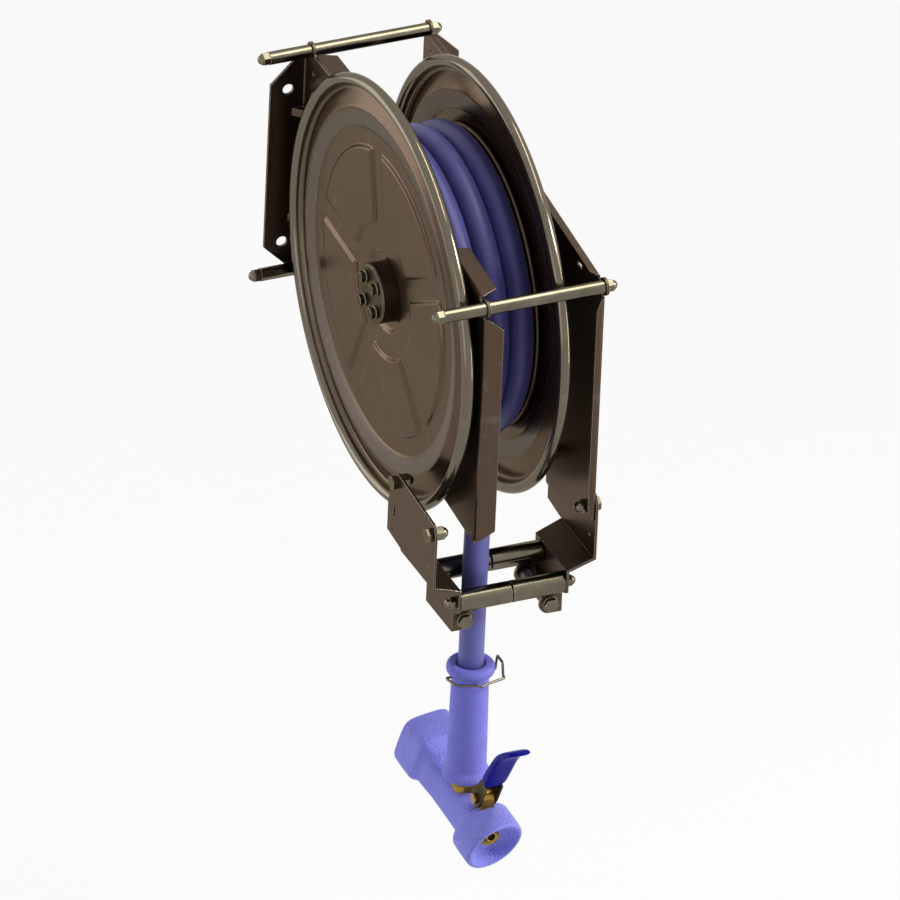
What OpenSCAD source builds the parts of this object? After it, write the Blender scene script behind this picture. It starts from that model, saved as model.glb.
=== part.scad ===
// Hose reel with an open drum, a wall bracket, a roller guide and a wash-down gun.
// Frame: +X along the axle to the right, -Y to the front, +Z up, millimetres.
// The origin is the centre of the four wall holes, on the wall plane.
// The modules are drawn round the axle, with x = 0 in the rim plane of the outer disc,
// and at_axle() moves them to the part's frame.

/* [Discs] */
// Radius of both discs over the rolled rim
disc_r = 215; // [205:1:222]
// Thickness of the disc sheet
disc_t = 1.5; // [1:0.1:2]
// Radius of the rolled rim
rim_r = 6; // [5:0.25:6.5]
// Depth of the channel inside the rim
channel_depth = 5.5; // [3:0.25:6]
// Radius at which the cone of a disc meets its channel
cone_r = 187; // [180:1:190]
// Radius of the flat centre of a disc
flat_r = 161; // [155:1:166]
// Depth of the flat centre behind the rim plane
flat_depth = 3; // [2:0.25:4]
// Radius of the round seat for the hub
seat_r = 37; // [36:0.5:40]
// Depth of the hub seat behind the rim plane
seat_depth = 6.5; // [5.5:0.25:7]
// Inner radius of the five pressed fields
field_in_r = 66; // [60:1:72]
// Outer radius of the five pressed fields
field_out_r = 144; // [125:1:148]
// Height of the pressed fields
field_h = 2.4; // [1:0.2:3]
// Width of the spokes between the fields
spoke_w = 24; // [16:1:32]
// Number of pressed fields
field_count = 5; // [3:1:8]

/* [Hub and shaft] */
// Radius of the hub boss on the outer disc
boss_r = 30; // [27:0.5:32]
// Height of the hub boss above the rim plane
boss_h = 11; // [8:0.5:16]
// Radius of the hollow shaft
shaft_r = 15; // [14:0.25:16]
// Radius of the water way in the shaft
water_r = 7.5; // [5:0.5:8.5]
// Thickness of the shaft's end flange
shaft_flange_t = 4; // [3:0.5:5]
// Radius of the bolt circle in the hub
hub_bolt_ring = 18.5; // [18:0.25:19.5]
// Radial clearance of running fits
run_fit = 0.05; // [0.02:0.01:0.08]
// Radial gap of pieces that are held still in a bore
seat_gap = 0.03; // [0.01:0.01:0.05]

/* [Drum and hose] */
// Outer diameter of the hose
hose_d = 25; // [23:0.5:26]
// Number of turns beside each other in the outer layer
lanes = 3; // [3:1:3]
// Gap between two turns
turn_gap = 0.8; // [0.7:0.05:1.5]
// Gap between the hose and what turns under it
hose_gap = 0.35; // [0.3:0.05:0.6]
// Radius of the hose's centre line in the outer layer
wind_r = 142.5; // [138:0.5:144]
// Outer radius of the drum core
core_r = 83; // [80:1:90]
// Wall of the drum core and thickness of its flanges
drum_t = 1.5; // [1:0.1:2]
// Radius of the left drum flange
left_flange_r = 159; // [156:0.5:160]
// Radius of the right drum flange over its rolled edge
right_flange_r = 150; // [148:0.5:153]
// Radius of the rolled edge of the right drum flange
flange_bead_r = 2.6; // [2:0.1:2.8]
// Length of the spacer between the right drum flange and the right disc
spacer_l = 5.4; // [5.4:0.1:8]
// Length of the right hub
hub_l = 12; // [10:0.5:16]

/* [Bracket] */
// Thickness of the bracket plates
plate_t = 2.5; // [2:0.1:3]
// Inside radius of the plates' bends
bend_r = 2; // [1.5:0.25:3]
// Gap between the shaft flange and the left plate
plate_run = 1.5; // [1.5:0.1:2.5]
// Gap between the left plate and the drum
drum_run = 2.5; // [2.3:0.1:3.5]
// Room between the ratchet wheel and the right plate
latch_room = 15.4; // [14:0.2:20]
// Distance from the wall to the axle
axle_to_wall = 230; // [226:1:245]
// Distance from the axle to the front face of the plates
axle_to_front = 214; // [210:1:220]
// Height of the plates' upper back corner over the axle
top_back = 148; // [146:1:160]
// Height of the plates' upper front corner over the axle
top_front = 103; // [102:1:115]
// Depth of the plates' lower front corner under the axle
low_front = 166; // [160:1:172]
// Depth of the plates' lower back corner under the axle
low_back = 112; // [106:1:120]
// Width of the left plate's inward flanges
left_lip = 20; // [14:0.5:21]
// Width of the right plate's inward flanges
right_lip = 9; // [7:0.5:12]
// Width of the wall flanges
wall_lip = 36; // [32:0.5:42]
// Radius of the wall holes
wall_hole_r = 5.5; // [4:0.25:7]
// Height of the upper wall holes over the axle
wall_hole_top = 100.5; // [92:0.5:106]
// Vertical distance between the wall holes
wall_hole_pitch = 171; // [160:1:175]
// Distance from the plate's outer face to its wall holes
wall_hole_in = 17.5; // [15:0.5:20]

/* [Tie rods] */
// Radius of the spacer tubes
tie_tube_r = 6.5; // [5.5:0.25:7]
// Radius of the tie rods
tie_r = 4; // [3.5:0.25:4.5]
// Length of the spacer tubes outside the left plate
tie_out = 44; // [30:1:46]

/* [Roller guide] */
// Distance between the outer faces of the two arms
arm_span = 171; // [168:1:176]
// Distance from the front roller's axis to the axle, to the front
front_roller_y = 204; // [203:0.5:206]
// Distance from the rear roller's axis to the axle, to the front
rear_roller_y = 151; // [148:0.5:152]
// Depth of the front roller under the axle
roller_z = 232; // [230:0.5:234]
// Height of the rear roller over the front one
rear_rise = 5; // [0:0.5:6]
// Radius of the rollers
roller_r = 10.75; // [9:0.25:11.5]
// Length of one cross roller half
roller_half = 54.5; // [50:0.5:58]
// Gap at the ends of the rollers
roller_gap = 0.5; // [0.3:0.1:1]
// Radius of the roller rods
rod_r = 4; // [3:0.25:4.5]
// Distance between the side rollers' axes
side_pitch = 90; // [89:0.5:93]
// Radius of the side rollers
side_roller_r = 7; // [6:0.25:7]
// Depth of the side rollers under the front roller
side_drop = 25; // [24:0.5:28]
// Length of the side rollers
side_l = 56; // [54:1:58]

/* [Gun] */
// Distance from the handle's axis to the outer disc's rim plane
gun_x = 31.5; // [31:0.25:32]
// Distance from the handle's axis to the axle, to the front
gun_y = 176.5; // [176:0.25:177]
// Depth of the top of the handle sleeve under the axle
sleeve_top = 321; // [318:1:324]
// Length of the handle sleeve
sleeve_l = 129; // [124:1:134]
// Radius of the handle sleeve
sleeve_r = 18.8; // [18.4:0.1:19.2]
// Depth of the gun's barrel axis under the axle
barrel_z = 482; // [480:1:486]
// Radius of the gun's front ring
ring_r = 33.8; // [32:0.2:36]
// Distance from the handle's axis to the face of the front ring
ring_y = 86; // [84:0.5:90]
// Distance from the handle's axis to the back of the gun
back_y = 114; // [110:1:118]
// Width of the lever grip
grip_w = 24; // [20:1:26]
// Radius of the latch wire
wire_r = 1.4; // [1:0.1:1.5]

/* [Hidden] */
$fn = 64;

// Stations along the axle, from the outer disc's rim plane to the right.
seat_back = seat_depth + disc_t;
plate_l = seat_back + shaft_flange_t + plate_run;
plate_l_in = plate_l + plate_t;
drum_l = plate_l_in + drum_run;
drum_in = drum_l + drum_t;
lane_pitch = hose_d + turn_gap;
pack_w = lanes * hose_d + (lanes - 1) * turn_gap;
drum_out = drum_in + pack_w + 2 * hose_gap;
flange_back = drum_out + drum_t;
disc2_flat = flange_back + spacer_l;
rim2_x = disc2_flat - flat_depth;
hub2_x = disc2_flat + disc_t;
hub2_end = hub2_x + hub_l;
ratchet_t = 4;
ratchet_end = hub2_end + ratchet_t;
plate_r_in = ratchet_end + latch_room;
plate_r = plate_r_in + plate_t;
lane_x = [for (i = [0:lanes - 1]) drum_in + hose_gap + hose_d / 2 + i * lane_pitch];

// The part's frame: the middle of the wall holes.
mount_x = (plate_l + plate_r) / 2;
mount_z = wall_hole_top - wall_hole_pitch / 2;

module at_axle() translate([-mount_x, -axle_to_wall, -mount_z]) children();
// Turns a shape drawn along Z so that it runs along X from the station x.
module along_x(x) translate([x, 0, 0]) rotate([0, 90, 0]) children();
// A bar, bored if bore is over 0, along X from x0 to x1.
module bar_x(x0, x1, r, bore = 0, y = 0, z = 0)
  translate([0, y, z]) along_x(x0) difference() {
    cylinder(r = r, h = x1 - x0);
    if (bore > 0) translate([0, 0, -1]) cylinder(r = bore, h = x1 - x0 + 2);
  }
// Extrudes an outline drawn in y and z by t along X, from the station x.
module sheet_x(x, t) translate([x, 0, 0]) rotate([90, 0, 90]) linear_extrude(t) children();
// A revolved profile of [radius, x] points round the axle.
module turned(points, x = 0) along_x(x) rotate_extrude($fn = 96) polygon(points);
// The same solid at n places round the axle.
module ring_of(n, start = 0) for (i = [0:n - 1]) rotate([start + i * 360 / n, 0, 0]) children();

// Unit normal of the line from a to b, and a line of points thickened by t to one side.
function side(a, b) = let (d = b - a) [-d.y, d.x] / norm(d);
function moved(p, i, t) =
  let (n1 = i > 0 ? side(p[i - 1], p[i]) : side(p[i], p[i + 1]),
       n2 = i < len(p) - 1 ? side(p[i], p[i + 1]) : n1, m = n1 + n2)
  p[i] + 2 * t * m / (m * m);
function walled(p, t) = concat(p, [for (i = [len(p) - 1:-1:0]) moved(p, i, t)]);

// ---- Hexagon heads, nuts and acorn nuts, drawn along +Z from z = 0 ----
module hex_head(af, h) cylinder(d = af / cos(30), h = h, $fn = 6);
module acorn_nut(af, h, bore) {
  difference() {
    union() {
      hex_head(af, h);
      translate([0, 0, h]) rotate_extrude() intersection() {
        circle(r = af * 0.44);
        square(af);
      }
    }
    translate([0, 0, -1]) cylinder(r = bore, h = h + af * 0.2 + 1);
  }
}
module plain_nut(af, h, bore) difference() {
  hex_head(af, h);
  translate([0, 0, -1]) cylinder(r = bore, h = h + 2);
}

// ---- Pressed discs ----
hub_bolt_r = 3;
boss_hole = 12;
drum_bolt_ring = hub_bolt_ring + 6.5;
rim_lip = 4.4;
channel_out = disc_r - 2 * rim_r - 0.6;
wall_run = 5;
function disc_line(seat, hole) = [
  [hole, seat], [seat_r, seat], [seat_r + 3.5, flat_depth], [flat_r, flat_depth],
  [cone_r - 1, -1], [cone_r + 2, -1], [cone_r + 2 + wall_run, channel_depth],
  [channel_out - 2.5, channel_depth], [channel_out, channel_depth - rim_lip]];
// The five fields stand out of the flat centre as one ring, cut by the spokes.
module pressed_fields(h) difference() {
  turned([[field_in_r, flat_depth + 0.01], [field_in_r + 5, flat_depth - h],
          [field_out_r - 6, flat_depth - h], [field_out_r, flat_depth + 0.01]]);
  ring_of(field_count, 30)
    rotate([90, 0, 0]) linear_extrude(disc_r)
      polygon([[flat_depth + 1, spoke_w / 2 - 4], [flat_depth - h - 1, spoke_w / 2 + 1],
               [flat_depth - h - 1, -spoke_w / 2 - 1], [flat_depth + 1, 4 - spoke_w / 2]]);
}
module pressed_disc(seat, hole, ring) difference() {
  union() {
    turned(walled(disc_line(seat, hole), disc_t));
    pressed_fields(field_h);
    // The rolled rim: a hollow bead, open where the sheet runs into it.
    turned([for (a = [150:15:480]) [disc_r - rim_r + rim_r * cos(a), rim_r * sin(a)],
            [disc_r - rim_r + (rim_r - disc_t) * cos(120), (rim_r - disc_t) * sin(120)],
            for (a = [465:-15:150])
              [disc_r - rim_r + (rim_r - disc_t) * cos(a), (rim_r - disc_t) * sin(a)]]);
  }
  translate([disc_t, 0, 0]) pressed_fields(field_h);
  ring_of(4, 45) bar_x(-50, 50, hub_bolt_r + seat_gap, 0, 0, ring);
  // Rivet-sized marks in pairs, near the edge of the flat centre.
  ring_of(field_count, 36) for (z = [146, 152]) bar_x(-50, 50, 0.9, 0, 0, z);
}
module outer_disc() color("#6b5a4a") at_axle() pressed_disc(seat_depth, boss_hole, hub_bolt_ring);
module right_disc() color("#6b5a4a") at_axle() translate([rim2_x, 0, 0])
  pressed_disc(flat_depth, shaft_r + seat_gap, drum_bolt_ring);

// ---- Hub, shaft and bearings ----
module hub_boss() color("#7a7464") at_axle() difference() {
  union() {
    turned([[0, -boss_h], [boss_r - 1.5, -boss_h], [boss_r, 1.5 - boss_h],
            [boss_r, seat_depth], [0, seat_depth]]);
    bar_x(seat_depth - 1, seat_back, boss_hole - seat_gap);
  }
  ring_of(4, 45) bar_x(-boss_h - 1, seat_back + 1, hub_bolt_r + seat_gap, 0, 0, hub_bolt_ring);
}
module hub_bolts() color("#a9a290") at_axle() ring_of(4, 45) translate([0, 0, hub_bolt_ring]) {
  bar_x(-boss_h, seat_back + shaft_flange_t - 0.5, hub_bolt_r);
  bar_x(-boss_h - 1.5, -boss_h, 6.5);
  translate([-boss_h - 1.5, 0, 0]) rotate([0, -90, 0]) hex_head(10, 5);
}
shaft_step = plate_r + 11;
spigot_r = 12;
spigot_l = 18;
shaft_end = shaft_step + spigot_l;
outlet_x = drum_out - 14;
outlet_r = 6;
module shaft() color("#8f8a7c") at_axle() difference() {
  union() {
    bar_x(seat_back, seat_back + shaft_flange_t, boss_r - 4);
    bar_x(seat_back, shaft_step, shaft_r);
    bar_x(shaft_step - 1, shaft_end, spigot_r);
  }
  bar_x(outlet_x - 8, shaft_end + 1, water_r);
  translate([outlet_x, 0, 0]) cylinder(r = outlet_r + seat_gap, h = shaft_r + 1);
  ring_of(4, 45) bar_x(seat_back - 1, seat_back + shaft_flange_t + 1,
                       hub_bolt_r + seat_gap, 0, 0, hub_bolt_ring);
  // Grooves for the swivel seals.
  for (x = seal_x) turned([[spigot_r - seal_depth, x - 1.3], [spigot_r + 1, x - 1.3],
                           [spigot_r + 1, x + 1.3], [spigot_r - seal_depth, x + 1.3]]);
}
bush_r = shaft_r + 4;
arbor_r = 24;
arbor_flange_r = 38;
arbor_flange_t = 4;
screw_ring = 32;
screw_r = 2;
spring_end = outlet_x - 14;
module spring_arbor() color("#9a9688") at_axle() difference() {
  union() {
    bar_x(plate_l_in, plate_l_in + arbor_flange_t, arbor_flange_r);
    bar_x(plate_l_in, spring_end, arbor_r);
  }
  bar_x(plate_l_in - 1, spring_end + 1, bush_r + seat_gap);
  // Slot that takes the inner end of the spring.
  translate([plate_l_in + 8, -1, bush_r]) cube([spring_end - plate_l_in - 12, 2, 8]);
  ring_of(4) bar_x(plate_l_in - 1, plate_l_in + 5, screw_r + seat_gap, 0, 0, screw_ring);
}
module left_bush() color("#d8d2c0") at_axle()
  bar_x(plate_l + 0.5, spring_end, bush_r, shaft_r + run_fit);
housing_t = 4;
module right_housing() color("#9a9688") at_axle() difference() {
  union() {
    bar_x(plate_r, plate_r + housing_t, arbor_flange_r);
    bar_x(plate_r, plate_r + 10, arbor_r);
  }
  bar_x(plate_r - 1, plate_r + 11, bush_r + seat_gap);
  ring_of(4) bar_x(plate_r - 1, plate_r + 5, screw_r + seat_gap, 0, 0, screw_ring);
}
module right_bush() color("#d8d2c0") at_axle()
  bar_x(plate_r_in - 1, plate_r + 10, bush_r, shaft_r + run_fit);
module bearing_screws() color("#a9a290") at_axle() ring_of(4) translate([0, 0, screw_ring]) {
  bar_x(plate_l, plate_l_in + arbor_flange_t, screw_r);
  turned([[0, plate_l - 2.4], [2.5, plate_l - 2.4], [3.5, plate_l - 1.2], [3.5, plate_l], [0, plate_l]]);
  bar_x(plate_r_in, plate_r + housing_t, screw_r);
  translate([plate_r + housing_t, 0, 0]) rotate([0, 90, 0]) hex_head(7, 2.8);
  translate([plate_r_in, 0, 0]) rotate([0, -90, 0]) hex_head(7, 2.5);
}

// ---- Drum ----
module left_flange() color("#8f8a7c") at_axle()
  turned([[arbor_flange_r + 2, drum_l], [left_flange_r, drum_l],
          [left_flange_r, drum_in], [arbor_flange_r + 2, drum_in]]);
module drum_core() color("#8f8a7c") at_axle() difference() {
  bar_x(drum_in, drum_out, core_r, core_r - drum_t);
  translate([outlet_x, 0, 0]) cylinder(r = outlet_r + seat_gap, h = core_r + 1);
}
// Washer that shuts the spring off from the water pipe.
module spring_wall() color("#8f8a7c") at_axle()
  bar_x(spring_end + 1, spring_end + 1 + drum_t, core_r - drum_t - seat_gap, shaft_r + 1);
// Spiral band: radius grows steadily from the arbor to the wall of the core.
spring_turns = 8;
spring_t = 0.8;
spring_in = arbor_r + 0.3;
spring_out = core_r - drum_t - 0.3 - spring_t;
function spiral(a, extra) = let (r = spring_in + (spring_out - spring_in) * a / 360 / spring_turns + extra)
  [r * cos(a), r * sin(a)];
module power_spring() color("#5f6a78") at_axle()
  sheet_x(plate_l_in + arbor_flange_t + 4, spring_end - plate_l_in - arbor_flange_t - 8)
    polygon([for (a = [0:15:spring_turns * 360]) spiral(a, 0),
             for (a = [spring_turns * 360:-15:0]) spiral(a, spring_t)]);
module outlet_pipe() color("#b08a3a") at_axle() translate([outlet_x, 0, 0]) difference() {
  union() {
    translate([0, 0, water_r + 3]) cylinder(r = outlet_r, h = core_r - water_r - 3.5);
    translate([0, 0, shaft_r + 6]) hex_head(17, 9);
    translate([0, 0, core_r - 14]) hex_head(17, 9);
  }
  translate([0, 0, water_r]) cylinder(r = outlet_r - 2, h = core_r);
}
module right_flange() color("#8f8a7c") at_axle() difference() {
  union() {
    turned([[shaft_r + seat_gap, drum_out], [right_flange_r - flange_bead_r, drum_out],
            [right_flange_r - flange_bead_r, flange_back], [shaft_r + seat_gap, flange_back]]);
    along_x(drum_out + flange_bead_r) rotate_extrude($fn = 96)
      translate([right_flange_r - flange_bead_r, 0]) circle(r = flange_bead_r, $fn = 24);
  }
  ring_of(4, 45) bar_x(drum_out - 1, flange_back + 1, hub_bolt_r + seat_gap, 0, 0, drum_bolt_ring);
}
module hub_spacer() color("#9a9688") at_axle() difference() {
  bar_x(flange_back, disc2_flat, boss_r + 2, shaft_r + seat_gap);
  ring_of(4, 45) bar_x(flange_back - 1, disc2_flat + 1, hub_bolt_r + seat_gap, 0, 0, drum_bolt_ring);
}
module right_hub() color("#9a9688") at_axle() difference() {
  turned([[shaft_r + seat_gap, hub2_x], [boss_r + 2, hub2_x], [boss_r + 2, hub2_x + 6],
          [boss_r + 2, hub2_end], [shaft_r + seat_gap, hub2_end]]);
  ring_of(4, 45) bar_x(hub2_x - 1, hub2_end + 1, hub_bolt_r + seat_gap, 0, 0, drum_bolt_ring);
}
module drum_bolts() color("#a9a290") at_axle() ring_of(4, 45) translate([0, 0, drum_bolt_ring]) {
  bar_x(drum_out - 5, ratchet_end, hub_bolt_r);
  translate([ratchet_end, 0, 0]) rotate([0, 90, 0]) hex_head(10, 4.5);
  translate([drum_out - 4.5, 0, 0]) rotate([0, 90, 0]) hex_head(10, 4.5);
}
ratchet_r = 46;
ratchet_root = 39;
teeth = 12;
module ratchet_wheel() color("#7d7768") at_axle() difference() {
  sheet_x(hub2_end, ratchet_t) polygon([for (i = [0:teeth - 1])
    for (p = [[ratchet_root, 0], [ratchet_r, 24]])
      let (a = i * 360 / teeth + p[1]) [p[0] * cos(a), p[0] * sin(a)]]);
  bar_x(hub2_end - 1, ratchet_end + 1, shaft_r + seat_gap);
  ring_of(4, 45) bar_x(hub2_end - 1, ratchet_end + 1, hub_bolt_r + seat_gap, 0, 0, drum_bolt_ring);
}

// ---- Pawl on the right plate ----
pawl_y = 30;
pawl_z = 56;
pawl_pin_r = 3;
module pawl() color("#9a9688") at_axle() difference() {
  sheet_x(hub2_end + 0.5, ratchet_t - 1) union() {
    translate([pawl_y, pawl_z]) circle(r = 7);
    polygon([[pawl_y, pawl_z + 6.2], [0, 57.5], [-4.5, 53], [-3, 48.5], [-0.5, 48.5], [3, 53],
             [pawl_y, pawl_z - 5], [pawl_y + 26, pawl_z + 6], [pawl_y + 26, pawl_z + 12]]);
  }
  bar_x(hub2_end, ratchet_end, pawl_pin_r + run_fit, 0, pawl_y, pawl_z);
}
module pawl_pin() color("#a9a290") at_axle() {
  bar_x(hub2_end - 2, plate_r, pawl_pin_r, 0, pawl_y, pawl_z);
  bar_x(hub2_end - 4, hub2_end - 2, 5.5, 0, pawl_y, pawl_z);
  bar_x(ratchet_end + 1, plate_r_in, 5, 0, pawl_y, pawl_z);
}
coil_r = 6.1;
coil_wire = 0.5;
coil_turns = 4;
coil_in = ratchet_end + 2.5;
coil_pitch = 2.4;
function coil(a) = [coil_in + coil_pitch * a / 360, coil_r * sin(a), -coil_r * cos(a)];
module pawl_spring() color("#8f8a7c") at_axle() translate([0, pawl_y, pawl_z])
  tube(concat([[coil_in - 4, 24, -0.6], [coil_in - 3, 23, -1.2], [coil_in, 18, -coil_r + 0.2]],
    [for (a = [0:18:coil_turns * 360]) coil(a)],
    [[coil_in + coil_pitch * coil_turns + 1, -8, -coil_r], [plate_r_in - 0.3, -10, -coil_r]]),
    coil_wire, 6, [0.03, 1, 0.02]);

// ---- Wound hose: the outer layer, one unbroken tube ----
cross_from = 160;
cross_arc = 120;
leave_angle = 12.2;
wind_end = cross_from + 360 * (lanes - 1);
loop_rings = 24;
function ease(t) = let (c = min(1, max(0, t))) c * c * (3 - 2 * c);
function lane_at(a) = lane_x[0] + lane_pitch *
  (ease((a - cross_from) / cross_arc) + ease((a - cross_from - 360) / cross_arc));
function wound(a) = [lane_at(a), -wind_r * cos(a), wind_r * sin(a)];
// Straight runs of one hose diameter at both ends, along the winding's own direction.
function heading(a) = let (d = wound(a + 0.5) - wound(a - 0.5)) d / norm(d);
wound_path = concat(
  [wound(leave_angle) - hose_d * heading(leave_angle)],
  [for (a = [leave_angle:360 / loop_rings:wind_end]) wound(a)],
  [wound(wind_end) + hose_d * heading(wind_end)]);
// Sweep of a round section with n sides along a path of points.
function unit(v) = v / norm(v);
function way(p, i) = unit(p[min(i + 1, len(p) - 1)] - p[max(i - 1, 0)]);
function ring_at(p, i, r, n, up) =
  let (t = way(p, i), s = unit(cross(t, up)), u = cross(s, t))
  [for (k = [0:n - 1]) p[i] + r * (cos(360 * k / n) * s + sin(360 * k / n) * u)];
function tube_faces(rings, n) = concat(
  [[for (k = [0:n - 1]) k]],
  [for (i = [0:rings - 2]) for (k = [0:n - 1]) for (f = [0, 1])
    let (a = i * n + k, b = i * n + (k + 1) % n) f == 0 ? [a, a + n, b] : [b, a + n, b + n]],
  [[for (k = [n - 1:-1:0]) (rings - 1) * n + k]]);
module tube(path, r, n, up = [1, 0, 0])
  polyhedron([for (i = [0:len(path) - 1]) each ring_at(path, i, r, n, up)],
             tube_faces(len(path), n), convexity = 6);
// Least distance between parts of the winding that are over half a loop apart, less a diameter.
half_loop = loop_rings / 2;
wound_gap = min([for (i = [0:len(wound_path) - 1]) for (j = [i + half_loop:1:len(wound_path) - 1])
  norm(wound_path[i] - wound_path[j])]) - hose_d;
module hose_outer_turns() color("#5a58a0") at_axle() {
  echo(least_gap_between_turns = wound_gap);
  tube(wound_path, hose_d / 2, 6);
}
// The winding's inner side lies deepest half way between two of its rings.
layer_r = (wind_r - hose_d / 2) * cos(180 / loop_rings) - 2 * hose_gap;
module hose_inner_layers() color("#4c4a8a") at_axle()
  bar_x(drum_in + hose_gap, drum_out - hose_gap, layer_r, core_r + seat_gap);

// ---- Free hose: from the winding, between the rollers, down to the gun ----
hose_route = [[0, -163.5, -81.7], [0, -170, -112], [-0.2, -174.3, -142], [-0.7, -176.1, -172],
  [-1.2, -176.5, -200], [-1.35, -176.5, -228], [-1.35, -176.5, -258], [-1.35, -176.5, -290],
  [-1.35, -176.5, -322], [-1.35, -176.5, -358]];
leave_end = wound(leave_angle) - hose_d * heading(leave_angle);
free_start = [lane_x[0], leave_end.y, leave_end.z];
tail_top = sleeve_top + 76;
free_path = concat([free_start], [for (k = [1:3]) let (t = k / 4)
    free_start * (1 - t) + t * (hose_route[0] + [lane_x[0], 0, 0])],
  [for (p = hose_route) p + [lane_x[0], 0, 0]], [[gun_x, -gun_y, -tail_top]]);
module hose_free() color("#6a68b8") at_axle() tube(free_path, hose_d / 2, 12);

// ---- Bracket plates ----
b = bend_r + plate_t;
tie_back = axle_to_wall - 13;
tie_top = top_back - 2;
tie_low = low_back - 15;
tie_fwd = axle_to_front - 2;
tie_fwd_z = top_front - 5;
ear_r = 9;
tie_places = [[tie_back, tie_top], [tie_back, -tie_low], [-tie_fwd, tie_fwd_z]];
kink_y = 130;
kink_z = top_back - 2;
top_slope = (kink_z - top_front) / (kink_y + axle_to_front);
function top_z(y) = y > kink_y ? kink_z + (y - kink_y) * 2 / (axle_to_wall - kink_y)
                              : top_front + (y + axle_to_front) * top_slope;
// One bent edge: a lip of the width w, measured from the outer face, on an edge along +Z
// of the length l; a and z are what its two corners lose. x is the way of the bend.
module bent_edge(l, w, a, z) intersection() {
  linear_extrude(l) {
    intersection() {
      translate([b, 0]) difference() {
        circle(r = b);
        circle(r = bend_r);
      }
      square(b);
    }
    translate([b, bend_r]) square([w - b, plate_t]);
  }
  rotate([-90, 0, 0]) mirror([0, 1, 0]) linear_extrude(b + 1)
    polygon([[0, 0], [b, 0], [w, a], [w, l - z], [b, l], [0, l]]);
}
// The plate's web with ears round the tie rods; y and z are drawn.
module web_outline() difference() {
  union() {
    polygon([[axle_to_wall - b, top_back - 4], [tie_back, top_back + ear_r - 2],
             [axle_to_wall - 25, top_z(axle_to_wall - 25) - b],
             [kink_y, kink_z - b], [b - axle_to_front, top_z(b - axle_to_front) - b],
             [b - axle_to_front, -low_front], [axle_to_wall - b, -low_back]]);
    for (p = tie_places) translate(p) circle(r = ear_r);
  }
  for (p = tie_places) translate(p) circle(r = tie_r + seat_gap);
  // Small fixing holes and slots in the corners.
  for (p = [[-tie_fwd + 12, tie_fwd_z - 14], [-axle_to_front + 12, -low_front + 11],
            [tie_back - 9, tie_top - 21]]) translate(p) circle(r = 2.5);
  for (p = [[-axle_to_front + 59, tie_fwd_z - 8], [tie_back - 31, tie_top - 21]]) translate(p) {
    for (y = [-3.5, 3.5]) translate([y, 0]) circle(r = 2.5);
    square([7, 5], center = true);
  }
}
wall_top = top_back - 6;
wall_chamfer = 34;
module wall_lip_edge() translate([0, axle_to_wall - b, -low_back + 4])
  mirror([1, 0, 0]) translate([-plate_t, 0, 0])
    bent_edge(wall_top + low_back - 4, wall_lip + plate_t, wall_chamfer, wall_chamfer);
// A plate with its outer face at x = 0 and its lips bent to +X; the wall lip is bent to -X.
module bracket_plate(lip, top_runs, front_low) {
  difference() {
    union() {
      sheet_x(0, plate_t) web_outline();
      wall_lip_edge();
      // Pressed gussets in the wall bend.
      for (z = [74, -44]) translate([0, axle_to_wall - plate_t, z - 4]) linear_extrude(8)
        polygon([[0.1, 0.1], [-12, 0.1], [0.1, -12]]);
      // Front lip.
      translate([0, b - axle_to_front, -front_low]) mirror([0, 1, 0])
        bent_edge(front_low + tie_fwd_z - ear_r - 4, lip, 8, 14);
      // Top lips, each from one y to another.
      for (run = top_runs) let (back = [run[0], top_z(run[0])], front = [run[1], top_z(run[1])],
          d = back - front, turn = atan2(d.y, d.x))
        translate([0, front.x, front.y]) rotate([turn, 0, 0]) translate([0, 0, -b])
          rotate([-90, 0, 0]) mirror([0, 1, 0]) bent_edge(norm(d), lip, 7, 7);
    }
    for (z = [0, -wall_hole_pitch]) translate([-wall_hole_in, 0, wall_hole_top + z]) rotate([-90, 0, 0])
      cylinder(r = wall_hole_r, h = axle_to_wall + 10);
    bar_x(-1, plate_t + 1, bush_r + seat_gap);
    ring_of(4) bar_x(-1, plate_t + 1, screw_r + seat_gap, 0, 0, screw_ring);
  }
}
// The left plate's top lip stops short of the drum, so it stands in two runs.
lip_clear = left_flange_r + 7;
lip_end_z = top_z(left_flange_r / 2) - plate_t;
run_back_y = sqrt(lip_clear * lip_clear - lip_end_z * lip_end_z);
run_front_y = -sqrt(lip_clear * lip_clear - top_z(-125) * top_z(-125));
module left_plate() color("#5c4838") at_axle() translate([plate_l, 0, 0])
  bracket_plate(left_lip, [[axle_to_wall - 25, kink_y + 3], [kink_y - 3, run_back_y],
                           [run_front_y, ear_r + 4 - tie_fwd]], low_front - 4);
arm_bolts_at = [[-117, -141], [-202, -152]];
// The right plate hangs lower than the left one, behind its front corner.
apron = [[-98, -145], [-101, -184], [-160, -186], [-169, -183], [-205, -163], [-205, -150]];
module right_plate() color("#5c4838") at_axle() difference() {
  union() {
    translate([plate_r, 0, 0]) mirror([1, 0, 0])
      bracket_plate(right_lip, [[axle_to_wall - 25, kink_y + 3], [kink_y - 3, ear_r + 4 - tie_fwd]],
                    low_front - 4);
    sheet_x(plate_r_in, plate_t) polygon(apron);
  }
  for (p = arm_bolts_at) bar_x(plate_r_in - 1, plate_r + 1, rod_r + seat_gap, 0, p[0], p[1]);
  bar_x(plate_r_in - 1, plate_r + 1, pawl_pin_r + seat_gap, 0, pawl_y, pawl_z);
}
module tie_tubes() color("#c9c3a8") at_axle() for (p = tie_places) {
  bar_x(plate_l - tie_out, plate_l, tie_tube_r, tie_r + seat_gap, p[0], p[1]);
  bar_x(plate_l_in, plate_r_in, tie_tube_r, tie_r + seat_gap, p[0], p[1]);
}
tie_end = 8;
tie_nut_af = 11.5;
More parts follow.
